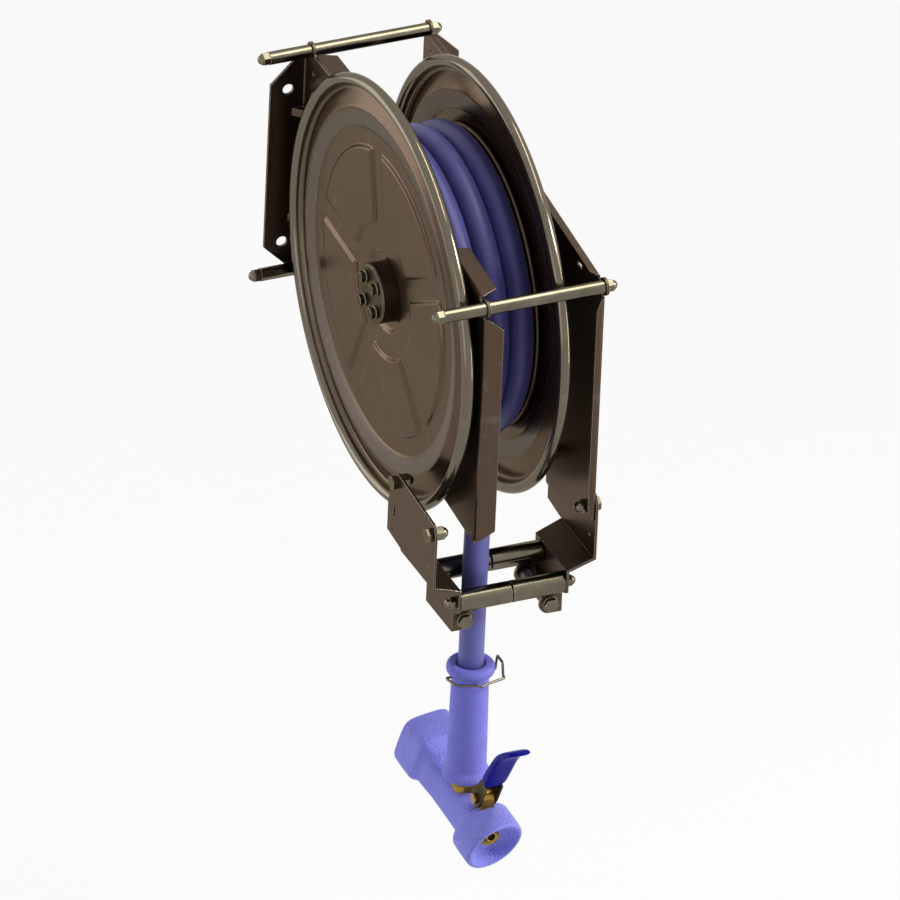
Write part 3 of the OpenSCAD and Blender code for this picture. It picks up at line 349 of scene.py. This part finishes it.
# the darker and the lighter tone of each finish, then its roughness
finishes = {
    "plate": steelSheet("plateSteel", (0.070, 0.045, 0.031), (0.115, 0.078, 0.055), 0.28,
                        grain="plateGrain"),
    "disc": steelSheet("discSteel", (0.080, 0.050, 0.033), (0.120, 0.079, 0.054), 0.2,
                       band=discBand),
    "rod": brightSteel("rodSteel", (0.10, 0.09, 0.062), (0.19, 0.172, 0.125), 0.15),
    "bolt": brightSteel("boltSteel", (0.10, 0.088, 0.062), (0.20, 0.18, 0.13), 0.2),
    "machined": brightSteel("machinedSteel", (0.048, 0.038, 0.028), (0.10, 0.084, 0.064), 0.3,
                            edge=0.0008),
    "spring": brightSteel("springSteel", (0.16, 0.18, 0.22), (0.3, 0.32, 0.38), 0.3),
    "brass": brassFinish("brass", (0.17, 0.105, 0.014), (0.44, 0.29, 0.05)),
    # one hose cover in two copies: the hanging hose painted lighter as painted light, the wound turns
    # painted darker as painted shade
    "litHose": hoseFinish("litHoseCover", (0.11, 0.105, 0.37), (0.16, 0.155, 0.52), 0.42),
    "hose": hoseFinish("shadedHoseCover", (0.066, 0.063, 0.25), (0.108, 0.104, 0.38), 0.42),
    "gun": pebbledRubber("gunRubber", (0.23, 0.235, 0.80), (0.32, 0.33, 0.98), 0.55),
    "sleeve": pebbledRubber("sleeveRubber", (0.185, 0.185, 0.70), (0.26, 0.26, 0.92), 0.5,
                            depth=0.35),
    "lever": glossPlastic("leverPlastic", (0.006, 0.004, 0.22), (0.010, 0.008, 0.32)),
    "bush": plainPlastic("bushPlastic", (0.55, 0.5, 0.4), (0.7, 0.66, 0.56), 0.5),
    "dark": plainPlastic("rollerPlastic", (0.03, 0.028, 0.026), (0.06, 0.055, 0.05), 0.4),
    # seal also colours the disc dots and the mouth ring, where it is painted shade
    "seal": plainPlastic("sealRubber", (0.012, 0.012, 0.012), (0.03, 0.03, 0.03), 0.6),
}

nodeFinish = {
    "plate": "left_plate right_plate left_arm right_arm left_flange right_flange drum_core"
             " spring_wall",
    "disc": "outer_disc right_disc",
    "rod": "tie_tubes roller_rods roller_front_left roller_front_right roller_rear_left"
           " roller_rear_right wire_latch",
    "bolt": "tie_rods tie_nuts bearing_screws drum_bolts arm_bolts arm_nuts rod_nuts"
            " side_bolts side_nuts pawl_pin",
    "machined": "hub_bolts hub_boss spring_arbor right_housing shaft hub_spacer right_hub"
                " ratchet_wheel pawl lever_fork valve_stem swivel_ring",
    "spring": "power_spring pawl_spring",
    "brass": "outlet_pipe swivel_body hose_tail valve_body nozzle lever_pin",
    "hose": "hose_inner_layers hose_outer_turns hose_free",
    "gun": "gun_cover",
    "sleeve": "handle_sleeve",
    "lever": "lever_grip",
    "bush": "left_bush right_bush",
    "dark": "side_roller_left side_roller_right",
    "seal": "swivel_seals",
}
for kind, names in nodeFinish.items():
    for name in names.split():
        nodes[name].data.materials.clear()
        nodes[name].data.materials.append(finishes[kind])
print("finishes made:", len(finishes))


# mesh tools
def gridMesh(name, points, body, finish, replaces=(), closedV=False, caps=()):
    # points is an array (rows round the piece, columns along it, 3); quads join neighbours and
    # face the way of round times along; caps are fans that close the end columns
    rows, columns = points.shape[:2]
    around = np.arange(rows)
    along = np.arange(columns if closedV else columns - 1)
    a, b = np.meshgrid(around, along, indexing="ij")
    nextA, nextB = (a + 1) % rows, (b + 1) % columns
    quads = np.stack([a * columns + b, nextA * columns + b, nextA * columns + nextB,
                      a * columns + nextB], -1).reshape(-1, 4)
    corners = points.reshape(-1, 3)
    faces = quads.tolist()
    for column in caps:
        middle = np.full(rows, len(corners))
        ring = around * columns + column % columns
        after = np.roll(ring, -1)
        fan = [middle, after, ring] if column == 0 else [middle, ring, after]
        corners = np.vstack([corners, points[:, column].mean(0)])
        faces += np.stack(fan, -1).tolist()
    mesh = bpy.data.meshes.new(name)
    mesh.from_pydata(corners, [], faces)
    mesh.polygons.foreach_set("use_smooth", np.ones(len(mesh.polygons), bool))
    mesh.update()
    mesh.materials.append(finishes[finish])
    piece = bpy.data.objects.new(name, mesh)
    scene.collection.objects.link(piece)
    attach(piece, body)
    if replaces:
        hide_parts(*replaces)
    return piece


def rounded(points, passes):
    # corner cutting: each pass puts points at a quarter and three quarters of every edge
    line = np.asarray(points, float)
    for _ in range(passes):
        first = line[:-1] * 0.75 + line[1:] * 0.25
        last = line[:-1] * 0.25 + line[1:] * 0.75
        inner = np.stack([first, last], 1).reshape(-1, line.shape[1])
        line = np.vstack([line[:1], inner[1:-1], line[-1:]])
    return line


def smoothLine(points, perSpan):
    # Catmull-Rom curve through all points, perSpan steps between neighbours
    p = np.asarray(points, float)
    p = np.vstack([2 * p[0] - p[1], p, 2 * p[-1] - p[-2]])
    t = np.linspace(0, 1, perSpan, endpoint=False)[None, :, None]
    a, b, c, d = (p[i:len(p) - 3 + i, None, :] for i in range(4))
    curve = 0.5 * (2 * b + (c - a) * t + (2 * a - 5 * b + 4 * c - d) * t ** 2
                   + (3 * b - a - 3 * c + d) * t ** 3)
    return np.vstack([curve.reshape(-1, p.shape[1]), p[-2:-1]])


def sweep(path, radius, sides, up=(1.0, 0.0, 0.0)):
    # rings of the given radius square to the path; the first side direction leans on up
    way = np.gradient(path, axis=0)
    way /= np.linalg.norm(way, axis=1)[:, None]
    side = np.cross(way, np.asarray(up, float))
    side /= np.linalg.norm(side, axis=1)[:, None]
    other = np.cross(way, side)
    angle = np.linspace(0, 2 * math.pi, sides, endpoint=False)[:, None, None]
    return path[None] + radius * (np.cos(angle) * side[None] + np.sin(angle) * other[None])


def revolve(profile, sides, origin, axis="x"):
    # profile is (radius, station) in millimetres, turned round the axis through origin
    angle = np.linspace(0, 2 * math.pi, sides, endpoint=False)[:, None]
    r, s = profile[:, 0][None] / 1000, profile[:, 1][None] / 1000
    wide, high = r * np.cos(angle), r * np.sin(angle)
    along = np.broadcast_to(s, wide.shape)
    order = {"x": (along, wide, high), "y": (wide, along, -high), "z": (wide, high, along)}[axis]
    return np.stack(order, -1) + np.asarray(origin)


def walled(line, thickness):
    # a closed section: the line, and the line moved to one side by the thickness
    way = np.gradient(line, axis=0)
    way /= np.linalg.norm(way, axis=1)[:, None]
    side = np.stack([-way[:, 1], way[:, 0]], -1)
    return np.vstack([line, (line + side * thickness)[::-1]])


# hanging hose: the free cord
hangingHose = {
    "diameter": 25.0,
    "lane": 32.85,                 # station of the first turn's centre
    "start": (-144.56, 5.68),
    "leads": 4,                    # points on the straight from the start to the route
    "route": [(0, -163.5, -81.7), (0, -170, -112), (-0.2, -174.3, -142), (-0.7, -176.1, -172),
              (-1.2, -176.5, -200), (-1.35, -176.5, -228), (-1.35, -176.5, -258),
              (-1.35, -176.5, -290), (-1.35, -176.5, -322), (-1.35, -176.5, -358)],
    "end": (-1.35, -176.5, -397),
    "steps": 6, "sides": 40,
    "held": ["handle_sleeve", "hose_tail", "valve_body", "gun_cover", "nozzle", "lever_fork",
             "lever_grip", "lever_pin", "valve_stem", "wire_latch"],
}


def makeHangingHose(h):
    # a round section carried along a smooth curve through the route
    first = np.array([0, *h["start"]])
    route = np.array(h["route"], float)
    straight = [first + (route[0] - first) * k / h["leads"] for k in range(h["leads"])]
    points = np.vstack([straight, route, [h["end"]]]) + np.array([h["lane"], 0, 0])
    path = local(smoothLine(points, h["steps"]))
    piece = gridMesh("hangingHose", sweep(path, h["diameter"] / 2000, h["sides"]), "bracket",
                     "litHose", replaces=["hose_free"], caps=(0, -1))
    length = float(np.linalg.norm(np.diff(path, axis=0), axis=1).sum())
    return length


hangingLength = makeHangingHose(hangingHose)
print("hanging hose:", round(hangingLength, 3), "m")

# floor, background and light
stageLook = {
    "floorDrop": 0.35, "floorHalf": 6.0,    # metres under the object, half the floor's width
    "floorDark": (0.86, 0.86, 0.86), "floorLight": (0.88, 0.88, 0.88),
    "floorShown": 0.9,                      # share of plain white that the camera sees
    "sky": (0.93, 0.95, 1.0, 1), "skyStrength": 0.25,
    "white": (1, 1, 1, 1),
}
seenRays = ["Is Camera Ray", "Is Glossy Ray", "Is Transmission Ray"]


def makeStage(look):
    finish = Finish("paleFloor", Roughness=0.9)
    grain = finish.noise(0.2, 2)
    finish.feed("Base Color", finish.mix(grain, look["floorDark"], look["floorLight"]))
    camera, glossy, through = (finish.add("LightPath", output=ray) for ray in seenRays)
    glow = finish.add("Emission", inputs={"Color": look["white"], "Strength": 1.0})
    mixed = finish.tree.nodes.new("ShaderNodeMixShader")
    seen = (camera + glossy + through).clipped() * look["floorShown"]
    finish.tree.links.new(seen.socket, mixed.inputs[0])
    finish.tree.links.new(finish.shader.outputs[0], mixed.inputs[1])
    finish.tree.links.new(glow.socket, mixed.inputs[2])
    finish.tree.links.new(mixed.outputs[0], finish.output.inputs["Surface"])
    mesh = bpy.data.meshes.new("floor")
    half, low = look["floorHalf"], cadBounds[0].z - look["floorDrop"]
    mesh.from_pydata([(-half, -half, low), (half, -half, low), (half, half, low), (-half, half, low)],
                     [], [(0, 1, 2, 3)])
    mesh.materials.append(finish.material)
    floor = bpy.data.objects.new("floor", mesh)
    scene.collection.objects.link(floor)


def makeWorld(look):
    world = bpy.data.worlds.new("studio")
    world.use_nodes = True
    scene.world = world
    tree = world.node_tree
    tree.nodes.clear()
    paths = tree.nodes.new("ShaderNodeLightPath")
    camera, glossy, through = (Value(tree, paths.outputs[ray]) for ray in seenRays)
    share = (camera + glossy + through).clipped()
    mixed = tree.nodes.new("ShaderNodeMixShader")
    tree.links.new(share.socket, mixed.inputs[0])
    shades = [(look["sky"], look["skyStrength"]), (look["white"], 1.0)]
    for slot, (colour, strength) in enumerate(shades, 1):
        shade = tree.nodes.new("ShaderNodeBackground")
        shade.inputs["Color"].default_value = colour
        shade.inputs["Strength"].default_value = strength
        tree.links.new(shade.outputs[0], mixed.inputs[slot])
    output = tree.nodes.new("ShaderNodeOutputWorld")
    tree.links.new(mixed.outputs[0], output.inputs["Surface"])


def makeLight(name, place, aim, size, power, colour):
    data = bpy.data.lights.new(name, "AREA")
    data.shape = "RECTANGLE"
    data.size, data.size_y = size
    data.energy, data.color = power, colour
    lamp = bpy.data.objects.new(name, data)
    scene.collection.objects.link(lamp)
    lamp.location = place
    lamp.visible_camera = False
    lamp.rotation_mode = "QUATERNION"
    lamp.rotation_quaternion = (Vector(aim) - Vector(place)).to_track_quat("-Z", "Y")


middle = (cadBounds[0] + cadBounds[1]) / 2
makeStage(stageLook)
makeWorld(stageLook)
# direction from the object's middle, distance, width and height of the lamp, power, colour
lamps = {
    "key": ((0.62, -0.50, 0.62), 2.2, (0.5, 0.5), 22.0, (1.0, 0.98, 0.93)),
    "strip": ((0.80, -0.45, 0.12), 2.0, (0.28, 2.2), 18.0, (1.0, 0.96, 0.86)),
    "top": ((0.30, -0.07, 0.95), 2.0, (1.5, 0.35), 14.0, (1.0, 0.97, 0.89)),
    "backPanel": ((-0.63, 0.76, 0.02), 2.4, (1.5, 1.9), 20.0, (0.88, 0.93, 1.0)),
    "fill": ((-0.80, -0.55, 0.15), 2.0, (1.0, 1.4), 4.5, (0.95, 0.97, 1.0)),
}
for name, (way, away, size, power, colour) in lamps.items():
    makeLight(name, middle + Vector(way).normalized() * away, middle, size, power, colour)
print("stage, world and lights placed")

# pressed discs
discShape = {
    "thickness": 1.5,
    "rim": (209.0, rimRadius * 1000),   # centre radius and own radius of the rolled rim
    "rimTurn": (192, 474, 30),      # where the rim's section starts and ends, in degrees; points
    "flat": (44.0, 159.5),          # radii between which the flat centre is divided
    "line": [(40.5, 3.0), (161, 3.0), (162.2, 2.0), (180.6, -1.4), (182.6, -1.4), (198.5, 5.2),
             (201, 5.4), (203.2, 3.0)],
    "fields": (66.0, 144.0, 2.4),   # inner and outer radius, height
    "slopes": (2.6, 2.4, 2.6),      # widths of the pressed walls: inner, outer, beside the spokes
    "spokes": (5, 30.0, 24.0),      # count, first angle, width
    "wall": (7, 24, 6),             # stations on a pressed wall, between walls, outside them
    "seat": 37.0,                   # hub seat radius
    "sectors": 480,
    "marks": (36.0, (146.0, 152.0), 0.9),   # first angle, radii and own radius of the dark dots, painted shade of the small dimples
    "markSides": 12, "markProud": 0.05,
}
# each disc's node, rim plane, depth of the hub seat and radius of the hole
discs = {
    "outer": ("outer_disc", rimX, 6.5, 12.0),
    "right": ("right_disc", rimRightX, 3.0, 15.1),
}


def discSurface(name, disc, node, station, seatDepth, hole):
    # a section of radius and depth turned round the axle; five fields lift it where
    # the ring mask times the distance from the nearest spoke says
    low, high, lift = disc["fields"]
    slopeIn, slopeOut, slopeSide = disc["slopes"]
    onWall, between, outside = disc["wall"]
    seat = [(hole, seatDepth), (disc["seat"], seatDepth)]
    # stations along the flat centre, close together on the pressed walls
    radii = np.concatenate([np.linspace(disc["flat"][0], low - 1, onWall),
                            np.linspace(low, low + slopeIn, onWall),
                            np.linspace(low + slopeIn + 2, high - slopeOut - 2, between),
                            np.linspace(high - slopeOut, high, onWall),
                            np.linspace(high + 2, disc["flat"][1], outside)])
    flat = np.stack([radii, np.full(len(radii), disc["line"][0][1])], -1)
    middleRadius, ownRadius = disc["rim"]
    turn = np.radians(np.linspace(*disc["rimTurn"]))
    rim = np.stack([middleRadius + ownRadius * np.cos(turn), ownRadius * np.sin(turn)], -1)
    inner = rounded([*seat, disc["line"][0], flat[0]], 2)
    sloped = rounded([flat[-1], *disc["line"][1:]], 2)
    line = np.vstack([inner, flat[1:-1], sloped, rim])
    section = walled(line, disc["thickness"])
    # behind the rim, the back of the sheet needs only every third station, counted from the hole
    back = section[len(line):]
    section = np.vstack([section[:len(line)], back[:len(rim)], back[:len(rim) - 1:-3][::-1]])
    shell = revolve(section, disc["sectors"], (station, axleY, axleZ))
    angle = np.degrees(np.arctan2(shell[..., 2] - axleZ, -(shell[..., 1] - axleY)))
    radius = np.hypot(shell[..., 2] - axleZ, shell[..., 1] - axleY) * 1000

    def ramp(t):
        # nearly straight wall with short rounded ends
        t = np.clip(t, 0, 1)
        return 0.75 * t + 0.25 * t * t * (3 - 2 * t)

    count, first, width = disc["spokes"]
    away = (angle - first + 180 / count) % (360 / count) - 180 / count
    beside = radius * np.abs(np.sin(np.radians(away)))
    mask = ramp((radius - low) / slopeIn) * ramp((high - radius) / slopeOut)
    mask *= ramp((beside - width / 2 + slopeSide / 2) / slopeSide)
    shell[..., 0] -= lift * mask / 1000
    gridMesh(name, shell, "drum", "disc", replaces=[node], closedV=True)


def dimpleShadeDots(name, disc, station):
    # a pair of near-black dots for each spoke: flat rounds a little proud of the sheet, the painted
    # shade of small pressed dimples
    first, rings, own = disc["marks"]
    count, sides = disc["spokes"][0], disc["markSides"]
    turn = np.radians(first + 360 / count * np.arange(count))[:, None, None]
    reach = np.array(rings)[None, :, None]
    side = np.linspace(0, 2 * math.pi, sides, endpoint=False)[None, None, :]
    y = -reach * np.cos(turn) + own * np.cos(side)
    z = reach * np.sin(turn) + own * np.sin(side)
    x = np.full(y.shape, disc["line"][1][1] - disc["markProud"])
    corners = np.stack([x, y, z], -1).reshape(-1, 3) / 1000 + np.array([station, axleY, axleZ])
    mesh = bpy.data.meshes.new(name)
    mesh.from_pydata(corners, [], np.arange(len(corners)).reshape(-1, sides)[:, ::-1].tolist())
    mesh.materials.append(finishes["seal"])
    dots = bpy.data.objects.new(name, mesh)
    scene.collection.objects.link(dots)
    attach(dots, "drum")


for side, values in discs.items():
    discSurface(side + "Disc", discShape, *values)
for side, values in discs.items():
    dimpleShadeDots(side + "Dots", discShape, values[1])
print("discs pressed")

# wound hose
winding = {
    "radius": 142.5, "diameter": 24.9, "lane": 32.85, "pitch": 25.8,
    "from": 160, "arc": 120,        # angles where a turn starts to cross over, and for how long
    "leave": 12.2, "turns": 2,      # angle where the hose leaves; full turns past "from"
    "perTurn": 110, "perStart": 30, "sides": 32,
    "tail": (1, 0.1, 8),            # straight ends: most and least share of a diameter; points
}
innerRing = {
    "lanes": 3, "pitch": 25.7, "gap": 0.45,     # gap under the outer turns
    "bulge": (12.0, 12.3, 13),                  # height and half width of a turn's bulge; points
    "side": 0.1, "bore": 83.3, "sides": 180,
}


def ease(t):
    # smooth step: three t squared less two t cubed
    t = np.clip(t, 0, 1)
    return t * t * (3 - 2 * t)


def makeWinding(w):
    # helix of level turns: the lane number climbs by one along a third of each turn
    end = w["from"] + 360 * w["turns"]
    angle = np.linspace(w["leave"], end, w["perTurn"] * w["turns"] + w["perStart"])

    def at(a):
        crossings = ease((a - w["from"]) / w["arc"]) + ease((a - w["from"] - 360) / w["arc"])
        turn = np.radians(a)
        return np.stack([w["lane"] + w["pitch"] * crossings, -w["radius"] * np.cos(turn),
                         w["radius"] * np.sin(turn)], -1)

    def heading(a):
        way = at(a + 0.5) - at(a - 0.5)
        return way / np.linalg.norm(way)

    body = at(angle)
    steps = np.linspace(*w["tail"])[:, None] * w["diameter"]
    path = local(np.vstack([body[0] - steps * heading(angle[:1]), body,
                            body[-1] + steps[::-1] * heading(angle[-1:])]))
    gridMesh("woundHose", sweep(path, w["diameter"] / 2000, w["sides"]), "bracket", "hose",
             replaces=["hose_outer_turns"], caps=(0, -1))


def makeInnerWinding(w, r):
    # the two hidden layers of turns: a ring whose outside bulges once for each lane
    top = w["radius"] - w["diameter"] / 2 - r["gap"]
    high, half, count = r["bulge"]
    angle = np.linspace(0, math.pi, count)[None]
    centre = (w["lane"] + r["side"] + r["pitch"] * np.arange(r["lanes"]))[:, None]
    bulges = np.stack(np.broadcast_arrays(top - high + high * np.sin(angle),
                                          centre - half * np.cos(angle)), -1).reshape(-1, 2)
    line = np.vstack([[(r["bore"], bulges[0, 1])], bulges, [(r["bore"], bulges[-1, 1])]])
    gridMesh("innerWinding", revolve(line, r["sides"], (rimX, axleY, axleZ)), "drum", "hose",
             replaces=["hose_inner_layers"], closedV=True)


makeWinding(winding)
makeInnerWinding(winding, innerRing)
print("hose wound")

# gun
gunCover = {
    "axis": -482.0, "fall": 0.07,       # height of the barrel at the handle, fall per millimetre
    "pitch": 21.0, "yaw": 11.5,         # lean of the end faces, down and to the right
    # station from the handle's axis, half width, half height, squareness, rise of the section
    "block": [(114, 0.2, 0.2, 2.6, 10), (114, 17, 20, 3.8, 10), (112.6, 22.5, 25.5, 4.4, 10),
              (109, 26.4, 29.2, 5, 10), (104, 27, 30, 5, 10), (72, 27, 30, 5, 10),
              (68, 26.2, 29.2, 5, 10), (63, 22, 25.4, 4.6, 8), (60, 21.2, 24, 4.4, 6)],
    "barrel": [(52, 20.6, 23, 4.2, 4.5), (44, 18.4, 21.4, 3.8, 0.6), (38, 18, 21, 3.6, 0),
               (-28, 18, 21, 3.6, 0), (-32, 19, 21.6, 3.2, 0)],
    "ring": [(-34, 27, 27, 2.3, 0), (-36.5, 30.2, 30.2, 2.05, 0), (-41, 31.2, 31.2, 2, 0),
             (-70, 31.4, 31.4, 2, 0), (-74.6, 30.6, 30.6, 2, 0), (-76, 28.6, 28.6, 2, 0)],
    "cup": [(-75.6, 26.8, 26.8, 2, 0), (-73, 25.6, 25.6, 2, 0), (-66, 21, 21, 2, 0),
            (-62, 15.5, 15.5, 2, 0), (-61, 9, 9, 2, 0), (-60.2, 8.2, 8.2, 2, 0)],
    "sides": 96,
}


def superRing(width, height, power, sides):
    # rounded square: the power n of x over the width and of z over the height add up to 1
    angle = np.linspace(0, 2 * math.pi, sides, endpoint=False)
    c, s = np.cos(angle), np.sin(angle)
    return (width[:, None] * np.sign(c) * np.abs(c) ** (2 / power[:, None]),
            height[:, None] * np.sign(s) * np.abs(s) ** (2 / power[:, None]))


def makeGunCover(g):
    # sections along the barrel, each in the leaning plane of the end faces
    outline = [*g["block"], *g["barrel"], *g["ring"], *g["cup"]]
    stations = rounded(np.array(outline, float), 2)
    wide, high = superRing(stations[:, 1], stations[:, 2], stations[:, 3], g["sides"])
    pitch, yaw = math.radians(g["pitch"]), math.radians(g["yaw"])
    across = np.array([math.cos(yaw), math.sin(yaw), 0])
    way = np.array([math.sin(yaw) * math.cos(pitch), -math.cos(yaw) * math.cos(pitch),
                    -math.sin(pitch)])
    rise = np.cross(across, way)
    along = stations[:, 0][:, None]
    centre = np.stack([0 * along, along, g["fall"] * along + stations[:, 4][:, None]], -1)
    points = (centre + wide[..., None] * across + high[..., None] * rise).transpose(1, 0, 2)
    points = points / 1000 + np.array([gunX, gunY, axleZ + g["axis"] / 1000])
    piece = gridMesh("gunCover", points[::-1], "bracket", "gun",
                     replaces=["gun_cover"], caps=(0,))
    wall = piece.modifiers.new("wall", "SUBSURF")
    wall.levels = wall.render_levels = 1


makeGunCover(gunCover)

sprayTip = {
    # radius and station from the handle's axis, closed on itself
    "line": [(3.4, -56), (3.4, -65.4), (4.2, -66.4), (5.6, -66.4), (6.4, -65.4), (7.0, -62),
             (9.4, -61.4), (9.8, -60.4), (9.8, -56)],
    "sides": 48,
}


def makeSprayTip(t):
    origin = (gunX, gunY, axleZ + gunCover["axis"] / 1000)
    gridMesh("sprayTip", revolve(rounded(t["line"], 1), t["sides"], origin, "y"), "bracket", "brass",
             replaces=["nozzle"], closedV=True)


makeSprayTip(sprayTip)

knurledRing = {
    "radius": 15.7, "tooth": 0.45, "teeth": 40, "perTooth": 6,
    "top": -450.4, "low": -455.2, "width": 5.0,
    "bevel": [(0, 0, 0.9), (0.6, 0.3, 0.3), (1, 0.8, 0)],   # share of the tooth, drop, inset
}


def makeKnurledRing(k):
    # a radius that swings once for each tooth, less towards the rounded rims
    share, drop, inset = np.array(k["bevel"], float).T
    share = np.concatenate([[0], share, share[::-1], [0]])[None]
    inset = np.concatenate([[k["width"]], inset, inset[::-1], [k["width"]]])[None]
    level = np.concatenate([[k["top"]], k["top"] - drop, k["low"] + drop[::-1], [k["low"]]])[None]
    turn = np.linspace(0, 2 * math.pi, k["teeth"] * k["perTooth"], endpoint=False)[:, None]
    reach = k["radius"] - inset + k["tooth"] * share * np.cos(k["teeth"] * turn)
    points = np.stack([reach * np.cos(turn), reach * np.sin(turn), level + 0 * turn], -1) / 1000
    gridMesh("knurledRing", (points + np.array([gunX, gunY, axleZ]))[::-1], "bracket", "brass",
             closedV=True)


makeKnurledRing(knurledRing)

mouthRing = {
    # radius and height from the axle
    "line": [(12.6, -323.6), (12.7, -322.4), (13.9, -322.2), (15.2, -323.4), (15.2, -330),
             (12.6, -330)],
    "sides": 64,
}


def makeMouthRing(m):
    # dark ring between the hose and the mouth of the handle; its near-black colour is painted shade
    # of the gap there
    shell = revolve(rounded(m["line"], 1), m["sides"], (gunX, gunY, axleZ), "z")
    gridMesh("mouthRing", shell[::-1], "bracket", "seal", closedV=True)


makeMouthRing(mouthRing)

handleSleeve = {
    "top": -321.0, "length": 129.0,
    # radius, height over the sleeve's lower end
    "outer": [(15.5, 0.6), (17.5, 0), (20.8, 0.2), (23.2, 2.2), (23.6, 5.5), (22, 9), (20, 12),
              (19.5, 20), (19.3, 45), (18.8, 80), (18.3, 106), (18.1, 115.6), (18.9, 117),
              (21.6, 117.2), (23.6, 120), (23.8, 123), (23.4, 126), (21, 128.8), (17.8, 129),
              (15, 128.4), (13.7, 126.4), (13.5, 118)],
    "bore": [(15.5, 60), (15.5, 8)],
    "sides": 96,
}


def makeSleeve(h):
    line = np.vstack([rounded(h["outer"], 2), h["bore"]])
    origin = (gunX, gunY, axleZ + (h["top"] - h["length"]) / 1000)
    gridMesh("handleSleeve", revolve(line, h["sides"], origin, "z"), "bracket", "sleeve",
             replaces=["handle_sleeve"], closedV=True)


makeSleeve(handleSleeve)

# lever
leverGrip = {
    "hinge": (-46.0, -447.0), "tilt": 56.0, "width": 24.0,
    # along the lever, height, half thickness, share of the width
    "line": [(-30.5, 0.4, 4.6, 0.8), (-36, 0.6, 5.0, 0.96), (-48, 0.8, 5.0, 1.0),
             (-62, 1.0, 4.6, 1.0), (-76, 1.0, 4.0, 1.0), (-86, 0.4, 3.6, 1.0),
             (-94, -1.4, 3.5, 1.0), (-102, -4.2, 3.4, 0.98), (-110, -7.6, 3.2, 0.94),
             (-116, -10.4, 2.8, 0.9), (-119.4, -12.2, 1.6, 0.86)],
    "steps": 6, "squareness": 5.0, "sides": 48,
}


def makeLever(v):
    # rounded-square sections along a curve in the lever's own plane, tilted at the hinge
    line = smoothLine(v["line"], v["steps"])
    way = np.gradient(line[:, :2], axis=0)
    way /= np.linalg.norm(way, axis=1)[:, None]
    side = np.stack([-way[:, 1], way[:, 0]], -1)
    x, t = superRing(line[:, 3] * v["width"] / 2, line[:, 2], np.full(len(line), v["squareness"]),
                     v["sides"])
    y, z = (line[:, i][:, None] + side[:, i][:, None] * t for i in range(2))
    tilt = math.radians(-v["tilt"])
    level = y * math.cos(tilt) - z * math.sin(tilt) + v["hinge"][0]
    height = y * math.sin(tilt) + z * math.cos(tilt) + v["hinge"][1]
    points = np.stack([x, level, height], -1).transpose(1, 0, 2) / 1000
    gridMesh("leverGrip", (points + np.array([gunX, gunY, axleZ]))[::-1], "lever", "lever",
             replaces=["lever_grip"], caps=(0, -1))


makeLever(leverGrip)

# latch wire
latchWire = {
    "height": -335.0, "radius": 1.3,
    "points": [(-17.8, 0, 0), (-24.6, 0, 0), (-25.6, -3, 0.5), (-22.6, -19, 1.5), (-4, -26, 2),
               (0, -28.2, 1), (4, -26.6, 2), (26, -22, 2), (26.4, -18, 4), (25.8, -17, 17),
               (25.6, -5, 18), (25.6, -3, 10), (25.6, -1.5, 1.5), (24.6, 0, 0), (17.8, 0, 0)],
    "near": (0.0, 0.2, 0.8),    # shares of each straight that hold the bends tight
    "sides": 14,
}


def makeLatch(w):
    # a round wire along straights whose corners are cut a little
    points = np.array(w["points"], float)
    near = [points[:-1] * (1 - t) + points[1:] * t for t in w["near"]]
    path = rounded(np.vstack([np.stack(near, 1).reshape(-1, 3), points[-1:]]), 2)
    path = path / 1000 + np.array([gunX, gunY, axleZ + w["height"] / 1000])
    rings = sweep(path, w["radius"] / 1000, w["sides"], up=(0.05, 0.1, 1.0))
    gridMesh("wireLatch", rings, "latch", "rod", replaces=["wire_latch"],
             caps=(0, -1))


makeLatch(latchWire)
print("gun, lever and latch made")

scene.view_settings.view_transform = "Standard"
